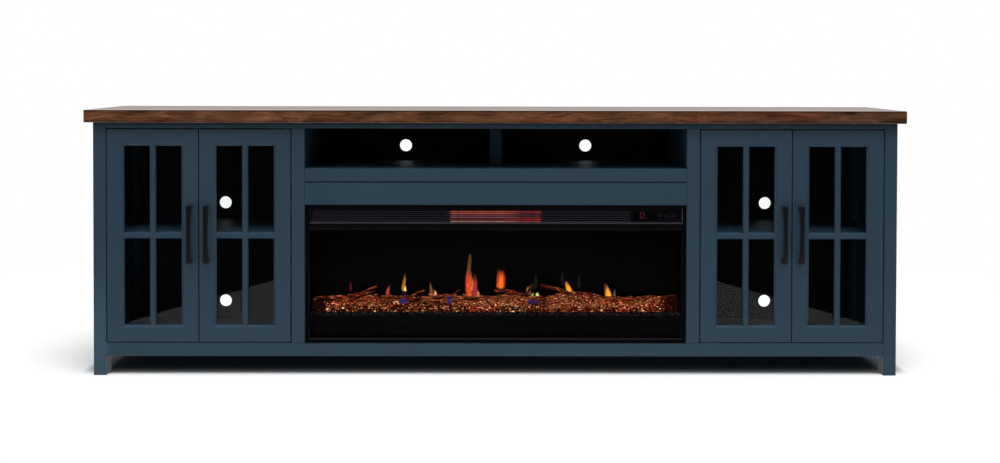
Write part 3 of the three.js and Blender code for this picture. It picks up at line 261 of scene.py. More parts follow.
# x, foot, height, width, lean, fullness (1 pointed, 4 blunt), raggedness, colours of core, rim and tip
FLAMES = (
    (-0.4485, 0.237, 0.04, 0.011, 0.001, 2.0, 0.3,
     (0.09, 0.006, 0.02), (0.03, 0.002, 0.006), (0.03, 0.002, 0.006)),
    (-0.334, 0.217, 0.046, 0.014, 0.007, 2.0, 0.2,
     (0.45, 0.065, 0.05), (0.12, 0.01, 0.01), (0.12, 0.03, 0.03)),
    (-0.2832, 0.22, 0.026, 0.03, 0.0, 1.6, 0.8,
     (0.014, 0.005, 0.021), (0.004, 0.001, 0.006), (0.007, 0.003, 0.01)),
    (-0.2832, 0.236, 0.064, 0.017, 0.002, 1.1, 0.2,
     (0.46, 0.2, 0.018), (0.2, 0.06, 0.003), (0.12, 0.085, 0.015)),
    (-0.28, 0.237, 0.02, 0.013, 0.0, 1.6, 0.2,
     (1.0, 0.82, 0.26), (0.75, 0.38, 0.02), (0.8, 0.5, 0.05)),
    (-0.1988, 0.217, 0.056, 0.015, -0.002, 1.3, 0.2,
     (0.17, 0.095, 0.018), (0.06, 0.028, 0.004), (0.07, 0.045, 0.01)),
    (-0.1855, 0.217, 0.029, 0.017, -0.004, 1.0, 0.3,
     (0.9, 0.42, 0.17), (0.38, 0.1, 0.03), (0.42, 0.2, 0.07)),
    (-0.08, 0.212, 0.1, 0.0275, -0.005, 5.0, 0.3,
     (0.8, 0.095, 0.022), (0.34, 0.016, 0.006), (0.13, 0.058, 0.016)),
    (-0.0812, 0.28, 0.078, 0.0155, 0.001, 7.0, 0.4,
     (0.12, 0.055, 0.014), (0.05, 0.014, 0.003), (0.06, 0.045, 0.01)),
    (-0.0625, 0.216, 0.082, 0.024, -0.003, 2.4, 0.5,
     (0.34, 0.038, 0.04), (0.12, 0.008, 0.014), (0.06, 0.012, 0.01)),
    (-0.073, 0.238, 0.046, 0.01, 0.002, 1.5, 0.2,
     (0.85, 0.27, 0.05), (0.32, 0.045, 0.01), (0.42, 0.1, 0.02)),
    (-0.0545, 0.208, 0.035, 0.017, 0.001, 1.3, 0.1,
     (0.95, 0.5, 0.13), (0.4, 0.1, 0.02), (0.65, 0.26, 0.06)),
    (0.0168, 0.244, 0.062, 0.031, -0.001, 3.6, 0.9,
     (1.0, 0.19, 0.022), (0.55, 0.03, 0.006), (0.3, 0.03, 0.016)),
    (0.008, 0.262, 0.054, 0.01, -0.003, 1.4, 0.2,
     (0.32, 0.03, 0.022), (0.1, 0.006, 0.005), (0.09, 0.01, 0.015)),
    (0.0242, 0.266, 0.044, 0.01, 0.003, 1.4, 0.2,
     (0.32, 0.03, 0.018), (0.1, 0.006, 0.005), (0.09, 0.01, 0.012)),
    (0.1004, 0.227, 0.03, 0.018, 0.002, 2.0, 0.4,
     (0.45, 0.22, 0.09), (0.16, 0.045, 0.012), (0.12, 0.07, 0.03)),
    (0.1143, 0.222, 0.012, 0.011, 0.0, 3.0, 0.0,
     (0.42, 0.4, 0.04), (0.15, 0.14, 0.01), (0.2, 0.18, 0.02)),
    (0.1297, 0.221, 0.014, 0.012, 0.0, 3.0, 0.0,
     (1.0, 0.9, 0.36), (0.45, 0.38, 0.05), (0.45, 0.38, 0.05)),
    (0.1218, 0.24, 0.062, 0.013, 0.004, 2.0, 0.2, *GHOST),
    (0.2272, 0.229, 0.043, 0.029, -0.009, 1.1, 0.1, *AMBER),
    (0.2054, 0.255, 0.058, 0.013, 0.003, 2.0, 0.2, *GHOST),
    (0.2585, 0.245, 0.06, 0.014, -0.003, 2.0, 0.2, *GHOST),
    (0.349, 0.211, 0.05, 0.03, -0.006, 1.3, 0.1, *AMBER),
    (0.3385, 0.238, 0.032, 0.011, -0.001, 1.5, 0.3,
     (0.13, 0.014, 0.02), (0.05, 0.004, 0.006), (0.05, 0.01, 0.012)),
    (0.3697, 0.2135, 0.036, 0.01, -0.002, 1.6, 0.2,
     (0.09, 0.095, 0.07), (0.03, 0.03, 0.022), (0.03, 0.035, 0.025)),
)


# Nodes of the materials
def rgba(colour):
    """A colour with its alpha, from one number for a grey or from three."""
    return (*colour, 1) if isinstance(colour, tuple) else (colour, colour, colour, 1)


def fill(node, inputs):
    """Links each input of the node to a socket, or sets its value."""
    for key, value in inputs.items():
        socket = node.inputs[key]
        if isinstance(value, bpy.types.NodeSocket):
            node.id_data.links.new(value, socket)
        else:
            socket.default_value = rgba(value) if socket.type == "RGBA" else value


def wire(shader, **inputs):
    """Fills the shader's inputs by name, with _ for a space."""
    fill(shader, {key.replace("_", " "): value for key, value in inputs.items()})


def add_node(kind, inputs, tree=None, **settings):
    """A node in the given tree, or else in the tree of the sockets among its inputs."""
    trees = [value.id_data for value in inputs.values() if isinstance(value, bpy.types.NodeSocket)]
    made = (tree or trees[0]).nodes.new(f"ShaderNode{kind}")
    for key, value in settings.items():
        setattr(made, key, value)
    fill(made, inputs)
    return made


def new_material(name, **inputs):
    """A material, its tree and its Principled shader."""
    material = bpy.data.materials.new(name)
    material.use_nodes = True
    tree = material.node_tree
    shader = tree.nodes["Principled BSDF"]
    wire(shader, **inputs)
    return material, tree, shader


def object_place(tree, scale=(1, 1, 1), place=(0, 0, 0)):
    """Object coordinates, stretched along each axis."""
    inside = add_node("TexCoord", {}, tree).outputs["Object"]
    return add_node("Mapping", {"Vector": inside, "Scale": scale, "Location": place}).outputs[0]


def axes(vector):
    """The x, y and z of a vector."""
    return add_node("SeparateXYZ", {"Vector": vector}).outputs


def noise_of(vector, scale, detail=4.0, roughness=0.5, distortion=0.0):
    settings = {"Scale": scale, "Detail": detail, "Roughness": roughness, "Distortion": distortion}
    return add_node("TexNoise", {"Vector": vector, **settings}).outputs["Fac"]


def ramp(value, stops):
    """A colour ramp over (place, colour) stops."""
    made = add_node("ValToRGB", {"Fac": value})
    elements = made.color_ramp.elements
    while len(elements) < len(stops):
        elements.new(0.5)
    for element, (place, colour) in zip(elements, stops):
        element.position = place
        element.color = rgba(colour)
    return made.outputs["Color"]


def blend(value, first, second, start=0.3, end=0.7):
    """From one colour to another as the value goes from start to end."""
    return ramp(value, [(start, first), (end, second)])


def spread(value, low, high, start=0.0, end=1.0):
    """Maps start..end to low..high."""
    inputs = {"Value": value, "From Min": start, "From Max": end, "To Min": low, "To Max": high}
    return add_node("MapRange", inputs).outputs["Result"]


def rise(value, start, end):
    """0 up to start, 1 from end on."""
    return spread(value, 0.0, 1.0, start, end)


def fall(value, start, end):
    """1 up to start, 0 from end on."""
    return spread(value, 1.0, 0.0, start, end)


def mix(factor, first, second, way="MIX"):
    made = add_node("Mix", {0: factor, 6: first, 7: second}, data_type="RGBA", blend_type=way)
    return made.outputs[2]


def tinted(colour, tint):
    return mix(1.0, colour, tint, "MULTIPLY")


def math_node(operation, *values):
    return add_node("Math", dict(enumerate(values)), operation=operation).outputs[0]


def times(*values):
    product = values[0]
    for value in values[1:]:
        product = math_node("MULTIPLY", product, value)
    return product


def bump(height, strength, distance):
    inputs = {"Height": height, "Strength": strength, "Distance": distance}
    return add_node("Bump", inputs).outputs["Normal"]


def mix_shaders(share, first, second):
    """Ends the material in the first shader, and in the second one by the share."""
    mixed = add_node("MixShader", {0: share, 1: first.outputs[0], 2: second.outputs[0]})
    fill(first.id_data.nodes["Material Output"], {"Surface": mixed.outputs[0]})


def seen_rays(tree):
    """1 for a camera ray, also past glass, and 0 once a surface has scattered or mirrored it."""
    path = add_node("LightPath", {}, tree).outputs
    direct = math_node("LESS_THAN", math_node("ADD", path["Diffuse Depth"], path["Glossy Depth"]), 0.5)
    past_glass = times(path["Is Transmission Ray"], direct)
    return math_node("MAXIMUM", path["Is Camera Ray"], past_glass), path["Is Glossy Ray"]


# Names of pieces
def both(*kinds):
    return [f"{kind}_{side}" for kind in kinds for side in ("left", "right")]


def of_doors(*kinds):
    return [f"door_{kind}_{i}" for kind in kinds for i in range(1, 5)]


def dress(material, *names):
    for name in names:
        mesh = nodes[name].data
        mesh.materials.clear()
        mesh.materials.append(material)


# Materials of the cabinet
def paint_material(name, gloss, tint=None):
    """Blue paint, with painted shade close under the top; tint(x, y, z), more painted light and shade,
    multiplies it.
    """
    material, tree, shader = new_material(name, IOR=1.45, Specular_IOR_Level=gloss)
    place = object_place(tree)
    x, y, z = axes(place)
    colour = blend(noise_of(place, 5.0, 3.0), PAINT_DARK, PAINT_LIGHT)
    # Painted shade under the top's overhang
    colour = tinted(colour, ramp(rise(z, *TOP_SHADE_Z), TOP_SHADE))
    if tint:
        colour = tinted(colour, tint(x, y, z))
    rough = spread(noise_of(place, 140.0, 3.0, 0.6), 0.46, 0.62)
    relief = bump(noise_of(place, 420.0, 2.0), 0.12, FINE_RELIEF)
    wire(shader, Base_Color=colour, Roughness=rough, Normal=relief)
    return material


def painted_light_and_shade_of_front(x, y, z):
    """Painted light at the foot of the left front leg, and painted shade in the gaps round the doors and
    under the insert.
    """
    aside = math_node("ABSOLUTE", x)
    # Painted light at the foot of the left front leg
    foot = times(fall(x, *FOOT_X), fall(y, *FOOT_Y), fall(z, *FOOT_Z))
    lit = mix(foot, WHITE, (1.5, 1.42, 1.34))
    # Painted shade along the seam under the insert
    seam = times(rise(z, *SEAM_LOW), fall(z, *SEAM_HIGH), fall(aside, *SEAM_END))
    # Painted shade deep in the gaps, but not on the outer legs' sides
    gap = math_node("MAXIMUM", rise(aside, *LEG_SIDE), spread(y, 1.0, 0.15, *GAP_DEPTH))
    return tinted(mix(seam, lit, 0.1), gap)


def painted_light_and_shade_of_sides(x, y, z):
    """Painted light on the left side panel's inner face, which little light reaches, and painted shade on
    the right one's.
    """
    inner = fall(math_node("ABSOLUTE", x), *PANEL_INSIDE)
    return mix(inner, WHITE, mix(rise(x, -1.0, 1.0), (1.5, 2.0, 2.2), 0.4))


def painted_shade_of_shelves(x, y, z):
    # Painted shade, darker towards the shelves' back
    return ramp(rise(y, *SHELF_DEPTH), SHELF_PAINTED_SHADE)


def painted_shade_of_divider(x, y, z):
    # Painted shade on the divider, which stands far back
    return mix(rise(y, *DIVIDER_DEPTH), DIVIDER_PAINTED_SHADE, 0.25)


def board_material():
    """Dark board, with painted light that makes it a little lighter and bluer inside the cabinet behind the
    far left door.
    """
    material, tree, shader = new_material("back_board", Specular_IOR_Level=0.2)
    place = object_place(tree)
    x, y, _ = axes(place)
    fine = noise_of(place, 160.0, 4.0, 0.7)
    colour = blend(fine, (0.0012, 0.0018, 0.0024), (0.0022, 0.0032, 0.0042))
    # Painted light on the board's inner face behind the far left door
    left = mix(rise(x, *LEFT_PAINTED_LIGHT_X), (3.0, 6.0, 8.0), WHITE)
    colour = mix(fall(y, *BOARD_INSIDE), colour, tinted(colour, left))
    wire(shader, Base_Color=colour, Roughness=spread(fine, 0.55, 0.75))
    return material


def wood_material():
    """Stained planks along X: figure, fibres, a wandering hue, and thin lines of painted shade and painted
    highlight along the front's arrises.
    """
    material, tree, shader = new_material("stained_wood", IOR=1.5, Specular_IOR_Level=0.5)
    place = object_place(tree)
    x, y, z = axes(place)
    tones = {"Color1": 0.0, "Color2": 1.0, "Mortar": 0.5, "Mortar Smooth": 0.2, "Scale": 1.0}
    sizes = {"Mortar Size": PLANK_JOINT, "Brick Width": PLANK_LENGTH, "Row Height": PLANK_WIDTH}
    layout = {"Vector": object_place(tree, place=PLANK_SHIFT), **tones, **sizes}
    planks = add_node("TexBrick", layout, offset=0.43).outputs
    plank, joint = planks["Color"], planks["Fac"]
    jump = add_node("VectorMath", {0: plank, "Scale": 7.3}, operation="SCALE").outputs[0]
    moved = add_node("VectorMath", {0: place, 1: jump}, operation="ADD").outputs[0]

    def stretched(*scale):
        return add_node("Mapping", {"Vector": moved, "Scale": scale}).outputs[0]

    flat = rise(z, *TOP_FACE)
    edge_figure = noise_of(stretched(4.2, 16.0, 21.0), 2.2, 5.0, 0.62, 1.2)
    top_figure = noise_of(stretched(1.5, 34.0, 21.0), 2.2, 5.0, 0.62, 0.7)
    figure = add_node("Mix", {0: flat, 2: edge_figure, 3: top_figure}, data_type="FLOAT").outputs[0]
    fibre = noise_of(stretched(14.0, 260.0, 260.0), 1.0, 4.0, 0.65, 0.3)
    tone = math_node("ADD", times(figure, 0.74), times(fibre, 0.26))
    colour = ramp(tone, WOOD_STOPS)
    edge_tint = mix(plank, (0.86, 0.84, 0.88), (1.1, 1.04, 1.0))
    edge_tint = tinted(edge_tint, mix(rise(x, *RIGHT_PLANK), WHITE, (0.8, 0.8, 0.92)))
    top_tint = mix(plank, (0.66, 0.66, 0.7), (1.26, 1.2, 1.14))
    colour = tinted(colour, mix(flat, edge_tint, top_tint))
    wander = noise_of(stretched(3.4, 20.0, 9.0), 1.6, 2.0)
    colour = tinted(colour, blend(wander, (1.08, 0.9, 0.84), (0.93, 1.06, 0.96), 0.36, 0.64))
    colour = mix(times(joint, spread(flat, 0.55, 0.95)), colour, (0.02, 0.008, 0.004))
    # A painted dark line along the upper arris, and a painted highlight over a painted dark band along the
    # lower one
    for heights, stops in (ARRIS_ABOVE_PAINTED_SHADE, ARRIS_BELOW_PAINTED_LIGHT):
        colour = tinted(colour, ramp(rise(z, *heights), stops))
    rough = times(spread(fibre, 0.26, 0.38), spread(y, 0.66, 1.1, *SHEEN_DEPTH))
    relief = bump(math_node("SUBTRACT", tone, times(joint, 1.5)), 0.25, WOOD_RELIEF)
    wire(shader, Base_Color=colour, Roughness=rough, Normal=relief)
    return material


def door_glass_material():
    """Clear glass. Its shadow is a light tint, so that the lamps reach the shelves behind it."""
    material, tree, shader = new_material("door_glass", Transmission_Weight=1.0, IOR=1.22, Roughness=0.0)
    smear = noise_of(object_place(tree), 9.0, 3.0, 0.6)
    wire(shader, Base_Color=blend(smear, (0.91, 0.95, 0.95), (0.95, 0.97, 0.97)))
    passing = add_node("BsdfTransparent", {"Color": (0.88, 0.9, 0.9)}, tree)
    mix_shaders(add_node("LightPath", {}, tree).outputs["Is Shadow Ray"], shader, passing)
    return material


def viewing_glass_material():
    material, tree, shader = new_material(
        "viewing_glass", Base_Color=(0.97, 0.97, 0.98), Transmission_Weight=1.0, IOR=1.03
    )
    smear = noise_of(object_place(tree), 7.0, 3.0, 0.6)
    wire(shader, Roughness=spread(smear, 0.0, 0.015))
    return material


def black_material(name):
    """Black metal or plastic, from its row in BLACKS."""
    low, high, rough, gloss, grain = BLACKS[name]
    material, tree, shader = new_material(name, Specular_IOR_Level=gloss)
    fine = noise_of(object_place(tree), grain, 3.0, 0.6)
    colour, relief = blend(fine, low, high), bump(fine, 0.1, FINE_RELIEF)
    wire(shader, Base_Color=colour, Roughness=spread(fine, *rough), Normal=relief)
    return material


def bands(x, z, turn, heights, rows):
    """Bands of colour over the heights, which turn from their left colour to their right one along x."""
    height = rise(z, *heights)
    left, right = (ramp(height, [(row[0], row[side]) for row in rows]) for side in (1, 2))
    return mix(rise(x, *turn), left, right)


def louvre_material():
    """Black metal. The louvres carry a painted highlight along their front edges, a painted glow of the
    heater's light before the heater, and neither behind.
    """
    material, tree, shader = new_material("louvre_metal", Specular_IOR_Level=0.03)
    place = object_place(tree)
    x, y, z = axes(place)
    edge = times(fall(y, *LOUVRE_FRONT), fall(z, *LOUVRE_TOP))
    edge = times(edge, rise(x, *LOUVRE_START), fall(x, *LOUVRE_END))
    fine = noise_of(place, 260.0, 3.0, 0.6)
    body = blend(fine, (0.0014, 0.0013, 0.002), (0.0022, 0.0021, 0.003))
    before = fall(math_node("ABSOLUTE", x), *HEATER_HALF)
    # Painted highlight along the front edges, fainter before the heater
    plain = times(edge, math_node("SUBTRACT", 1.0, times(before, 0.8)))
    glow = bands(x, z, LOUVRE_TURN, LOUVRE_Z, LOUVRE_PAINTED_GLOW)
    coil = noise_of(object_place(tree, (70.0, 1.0, 1.0)), 1.0)
    # Painted glow of the heater's light on the edges before it
    share = times(edge, before, spread(coil, 0.7, 1.25, 0.3, 0.7))
    wire(shader, Base_Color=mix(plain, body, LOUVRE_PAINTED_HIGHLIGHT), Roughness=spread(fine, 0.4, 0.55))
    wire(shader, Emission_Color=mix(share, 0.0, glow), Emission_Strength=1.25)
    return material


def handle_material():
    """Black metal, with a painted highlight: a little lighter where its faces turn away from the front."""
    material, tree, shader = new_material("black_handle", Specular_IOR_Level=0.16)
    fine = noise_of(object_place(tree), 260.0, 3.0, 0.6)
    body = blend(fine, (0.0028, 0.0045, 0.0062), (0.005, 0.0076, 0.0102))
    ahead = axes(add_node("NewGeometry", {}, tree).outputs["Normal"])["Y"]
    # Painted highlight where the faces turn away from the front
    painted_side_highlight = fall(math_node("ABSOLUTE", ahead), 0.8, 0.98)
    colour = mix(painted_side_highlight, body, (0.024, 0.025, 0.024))
    wire(shader, Base_Color=colour, Roughness=spread(fine, 0.34, 0.48))
    return material


def bright_metal_material(name, colour, roughness):
    material, tree, shader = new_material(name, Metallic=1.0)
    brushed = noise_of(object_place(tree, (400.0, 30.0, 30.0)), 1.0, 3.0, 0.6)
    lit = blend(brushed, tuple(0.8 * part for part in colour), colour)
    wire(shader, Base_Color=lit, Roughness=spread(brushed, *roughness))
    return material


def heater_material():
    """Glowing tubes before a reflector: bands along Z, redder towards the right-hand end."""
    material, tree, shader = new_material("quartz", Base_Color=(0.05, 0.02, 0.02), Roughness=0.35)
    x, _, z = axes(object_place(tree))
    glow = bands(x, z, HEATER_TURN, HEATER_Z, HEATER_GLOW)
    coil = noise_of(object_place(tree, (60.0, 1.0, 1.0)), 1.0, 3.0, 0.7)
    lit = tinted(glow, blend(coil, 0.55, 1.15))
    wire(shader, Emission_Color=lit, Emission_Strength=HEATER_LEVEL)
    return material


def cabinet_looks():
    front = paint_material("front_blue_with_painted_light", 0.28, painted_light_and_shade_of_front)
    dress(front, *both("leg_front", "centre_stile"), "top_rail", "bottom_rail")
    blue = paint_material("blue_paint", 0.28)
    dress(blue, *both("leg_back", "partition"), *of_doors("frame", "grille"))
    dress(blue, "cabinet_floor", "media_shelf", "fascia_board")
    dress(paint_material("side_blue_with_painted_light", 0.28, painted_light_and_shade_of_sides), *both("side_panel"))
    dress(paint_material("shelf_blue_with_painted_shade", 0.08, painted_shade_of_shelves), *both("adjustable_shelf"))
    dress(paint_material("divider_blue_with_painted_shade", 0.08, painted_shade_of_divider), "media_divider")
    dress(wood_material(), "top_panel")
    dress(board_material(), *both("back_panel"), "back_panel_media")
    dress(door_glass_material(), *of_doors("glass"))
    dress(handle_material(), *of_doors("handle"))
    steel = bright_metal_material("pivot_steel", (0.2, 0.2, 0.21), (0.35, 0.5))
    dress(steel, *(f"{end}_pivot_{i}" for end in ("upper", "lower") for i in range(1, 5)))


def insert_looks():
    dress(black_material("black_front_metal"), "front_bezel")
    dress(louvre_material(), "vent_grille")
    dress(viewing_glass_material(), "viewing_glass")
    dress(black_material("housing_steel"), "firebox_housing", "flame_screen", "ember_bed")
    dress(black_material("black_plastic"), "control_panel")
    dress(black_material("key_plastic"), "panel_key_1", "panel_key_2", "panel_key_3")
    sheet = bright_metal_material("wheel_aluminium", (0.6, 0.6, 0.62), (0.25, 0.4))
    dress(sheet, "blower_wheel", "flame_rotor")
    dress(heater_material(), "quartz_heater")


# Pieces of the fire
def new_piece(name, form, material, body="cabinet"):
    """A mesh object from (vertices, faces), with the named attributes of its faces."""
    vertices, faces, marks = form
    mesh = bpy.data.meshes.new(name)
    mesh.from_pydata(vertices, [], faces)
    for key, values in marks.items():
        mesh.attributes.new(key, "FLOAT", "FACE").data.foreach_set("value", values)
    mesh.materials.append(material)
    mesh.update()
    made = bpy.data.objects.new(name, mesh)
    bpy.context.scene.collection.objects.link(made)
    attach(made, body)
    return made


def join(forms):
    """One form of several, each of them vertices, faces and the tones of the faces."""
    vertices, faces, tones = [], [], []
    for more_vertices, more_faces, more_tones in forms:
        first = len(vertices)
        vertices += more_vertices
        faces += [[first + index for index in face] for face in more_faces]
        tones += more_tones
    return vertices, faces, {"tone": tones}


def loft(rings, closed=False):
    """Sides from each ring of places to the next, with a cap at both ends or closed on themselves."""
    count, size = len(rings), len(rings[0])
    faces = []
    for level in range(count if closed else count - 1):
        low, high = level * size, (level + 1) % count * size
        for k in range(size):
            after = (k + 1) % size
            faces.append([low + k, low + after, high + after, high + k])
    if not closed:
        last = (count - 1) * size
        faces += [list(range(size))[::-1], list(range(last, last + size))]
    return [place for ring in rings for place in ring], faces


def clamp(value):
    return min(1.0, max(0.0, value))


def glow_material(name, stops, roughness, grain=EVEN_GRAIN, dim=(0.75, 1.1), strength=1.0, hues=None):
    """Self-lit and uneven: the face attribute tone picks the colour, noise shades it, and painted light and
    shade by the face's turn give it form.
    """
    material, tree, shader = new_material(name, Specular_IOR_Level=0.03)
    tone = add_node("Attribute", {}, tree, attribute_name="tone").outputs["Fac"]
    uneven = noise_of(object_place(tree, grain), 1.0, 3.0, 0.65)
    lit = ramp(math_node("ADD", tone, spread(uneven, -0.12, 0.12, 0.3, 0.7)), stops)
    if hues:
        wander = noise_of(object_place(tree), 30.0, 3.0, 0.6)
        lit = tinted(lit, ramp(wander, hues))
    slow = noise_of(object_place(tree), 9.0, 2.0)
    shaded = tinted(lit, blend(slow, *dim, 0.35, 0.65))
    # Painted light and shade by how the face turns
    normal = add_node("NewGeometry", {}, tree).outputs["Normal"]
    facing = add_node("VectorMath", {0: normal, 1: GLOW_PAINTED_LIGHT_SIDE}, operation="DOT_PRODUCT").outputs["Value"]
    formed = tinted(shaded, ramp(facing, GLOW_PAINTED_SHADE))
    wire(shader, Emission_Color=formed, Emission_Strength=strength)
    base = tinted(lit, (0.08, 0.05, 0.04))
    wire(shader, Base_Color=base, Roughness=spread(uneven, *roughness))
    return material


def pebble_shapes(draw, count):
    """Angular pebbles, each the hull of a few points round a rough ball."""
    shapes = []
    for _ in range(count):
        form = bmesh.new()
        for _ in range(PEBBLE_POINTS):
            way = Vector([draw.gauss(0, 1) for _ in range(3)]).normalized()
            form.verts.new(way * draw.uniform(0.75, 1.0))
        bmesh.ops.convex_hull(form, input=list(form.verts))
        loose = [vertex for vertex in form.verts if not vertex.link_faces]
        bmesh.ops.delete(form, geom=loose, context="VERTS")
        form.verts.index_update()
        shapes.append(([v.co.copy() for v in form.verts], [[v.index for v in f.verts] for f in form.faces]))
        form.free()
    return shapes


def bed_surface():
    """Gives the height of the ember bed's top at x, y."""
    mesh = nodes["ember_bed"].data
    tree = BVHTree.FromPolygons([v.co for v in mesh.vertices], [p.vertices for p in mesh.polygons])

    def height(x, y):
        return tree.ray_cast(Vector((x, y, BED_TOP + 0.1)), Vector((0, 0, -1)))[0].z

    return height


def pebble(draw, shapes, place, size, tone):
    """One pebble, squashed and turned at random; each face varies a little in tone."""
    corners, faces = draw.choice(shapes)
    spin = Matrix.Rotation(draw.uniform(0, math.tau), 3, "Z")
    tilt = Matrix.Rotation(draw.uniform(-0.6, 0.6), 3, "X")
    squash = Matrix.Diagonal([size * draw.uniform(*shares) for shares in PEBBLE_SHARES])
    vertices = [Vector(place) + spin @ tilt @ squash @ corner for corner in corners]
    return vertices, faces, [clamp(tone + draw.gauss(0, TONE_SPREAD)) for _ in faces]


def bed_piece(name, draw, shapes, places, look):
    """Joins one pebble for each (place, size, tone)."""
    new_piece(name, join(pebble(draw, shapes, *place) for place in places), look)


def embers():
    draw = random.Random(31)
    shapes = pebble_shapes(draw, 14)
    height = bed_surface()
    places = []

    def level(x, share):
        """Brightest amid the bed and to the front, dim at its ends and in a few patches."""
        patches = sum(max(0.0, 1.0 - abs(x - at) / half) for at, half in DARK_PATCHES) * (0.4 + 0.6 * share)
        ends = clamp((abs(x + 0.005) - 0.505) / 0.032)
        return 0.555 - 0.13 * share + 0.06 * math.exp(-((x / 0.12) ** 2)) - 0.3 * patches - 0.6 * ends

    def on_bed(x, y, lift, size, tone):
        return (x, y, height(x, y) + lift), size, tone

    for _ in range(EMBER_COUNT):
        x, share = draw.uniform(-BED_HALF, BED_HALF), draw.random()
        size = draw.uniform(*EMBER_SIZE)
        tone = level(x, share) + draw.gauss(0, 0.21)
        places.append(on_bed(x, BED_FRONT + (BED_REAR - BED_FRONT) * share, 0.25 * size, size, tone))
    for middle, half, top, count in HEAPS:
        for i in range(count):
            x, share = middle + half * draw.uniform(-1, 1), draw.uniform(HEAP_START, 1.0)
            heap = top * (1 - ((x - middle) / half) ** 2) * min(1.0, 1.5 * (share - HEAP_START))
            size = draw.uniform(*HEAP_SIZE)
            tone = level(x, 0.6 * share) + draw.gauss(0, 0.21)
            lift = heap * (1.0 if i % 2 else draw.random()) + 0.2 * size
            places.append(on_bed(x, BED_FRONT + (BED_REAR - BED_FRONT) * share, lift, size, tone))
    for i in range(FRONT_ROW):
        x = ROW_HALF * (2 * i / (FRONT_ROW - 1) - 1) + draw.uniform(-0.002, 0.002)
        for y, lift in ((BED_FRONT, 0.2), (BED_FRONT + 0.0035, 0.5)):
            size = draw.uniform(*ROW_SIZE)
            places.append(on_bed(x, y, lift * size, size, level(x, 0) + draw.gauss(0, 0.2)))
    for x, y, size in PALE_PEBBLES:
        places.append(on_bed(x, y, 0.9 * size, size, 1.1))
    look = glow_material("embers", EMBER_STOPS, (0.4, 0.7), hues=EMBER_HUES)
    bed_piece("ember_pebbles", draw, shapes, places, look)

    places = []
    for _ in range(LIP_COUNT):
        x, size, y = draw.uniform(-LIP_HALF, LIP_HALF), draw.uniform(*LIP_SIZE), draw.uniform(*LIP_DEPTH)
        # Painted light, brighter towards the embers behind
        tone = draw.uniform(0.2, 0.7) + 55 * (y - sum(LIP_DEPTH) / 2)
        places.append(on_bed(x, y, 0.3 * size, size, tone))
    look = glow_material("ash", ASH_STOPS, (0.6, 0.8))
    bed_piece("ash_pebbles", draw, shapes, places, look)

    places = []
    for middle, depth, wide, deep, tone, count in BLUE_GLOWS:
        for _ in range(count):
            x, y = middle + draw.uniform(-wide, wide), depth + draw.uniform(-deep, deep)
            size = draw.uniform(*BLUE_SIZE)
            places.append(on_bed(x, y, draw.uniform(0.9, 1.9) * size, size, tone + draw.gauss(0, 0.1)))
    look = glow_material("blue_embers", BLUE_STOPS, (0.2, 0.4), (200.0, 200.0, 200.0), (0.85, 1.1), 1.15)
    bed_piece("blue_pebbles", draw, shapes, places, look)


def smooth_path(points, steps):
    """A Catmull-Rom curve through the points, each a place and a radius."""
    path = []
    last = len(points) - 1
    for i in range(last):
        a, b, c, d = (Vector(points[min(max(k, 0), last)]) for k in (i - 1, i, i + 1, i + 2))
        for step in range(steps):
            t = step / steps
            curve = (2 * a - 5 * b + 4 * c - d) * t * t + (3 * b - a - 3 * c + d) * t ** 3
            path.append(0.5 * (2 * b + (c - a) * t + curve))
    path.append(Vector(points[last]))
    return path


def twig(points, seed, lift, sides=9, steps=9):
    """A rough tapered tube along the path, with knots, ridged bark and cut ends; its glow is painted light,
    brighter on the underside towards the bed and dimmer near the fire's ends, and lift brightens it.
    """
    path = smooth_path(points, steps)
    last = len(path) - 1
    rings, tones = [], []
    for i, station in enumerate(path):
        place, radius = station.xyz, station[3]
        ahead = (path[min(i + 1, last)].xyz - path[max(i - 1, 0)].xyz).normalized()
        side = ahead.cross(Vector((0, 0, 1))).normalized()
        up = side.cross(ahead)
        knot = 0.35 * max(0.0, noise.noise(Vector((place.x * 25 + seed * 3.1, seed, 0))))
        # Painted light dims towards the fire's ends
        fade = clamp((abs(place.x) - 0.5) / 0.05)
        ring = []
        for k in range(sides):
            turn = math.tau * k / sides
            way = math.cos(turn) * side + math.sin(turn) * up
            rough = noise.noise(Vector((place.x * 60, k * 1.7 + seed, place.z * 40))) * 0.35
            ring.append(place + way * radius * (1 + rough + knot))
            if i < last:
                # Painted light from the bed below: brighter on the underside
                under = 0.5 - 0.5 * math.sin(math.tau * (k + 0.5) / sides)
                streak = noise.noise(Vector((i * 0.35, k * 2.3, seed * 5.0)))
                tones.append(lift + 0.12 + 0.3 * under + 0.8 * streak - 0.22 * fade)
        rings.append(ring)
    vertices, faces = loft(rings)
    # The rings turn clockwise along the path, so each face is wound the other way to look outwards
    return vertices, [[face[0], *face[:0:-1]] for face in faces], tones + [0.35, 0.35]


def small_twigs():
    """Thin twigs that lie on the pebbles of the bed's rear half."""
    draw = random.Random(53)
    height = bed_surface()
    made = []
    for _ in range(SMALL_TWIGS):
        x, y, length, radius = (draw.uniform(*ends) for ends in (TWIG_X, TWIG_Y, TWIG_LENGTH, TWIG_RADIUS))
        slope = draw.uniform(-0.07, 0.07)
        start, end = draw.uniform(0.0, 0.009), draw.uniform(0.0, 0.009)
        points = []
        for step in range(4):
            px = x + length * step / 3
            py = y + slope * (step / 3 - 0.5) * length + draw.uniform(-0.002, 0.002)
            lift = start * max(0.0, 1 - step / 1.5) + end * max(0.0, step / 1.5 - 1)
            points.append((px, py, height(px, py) + 0.0035 + radius + lift, radius * (1.1 - 0.15 * step)))
        made.append((points, draw.uniform(0.05, 0.45)))
    return made


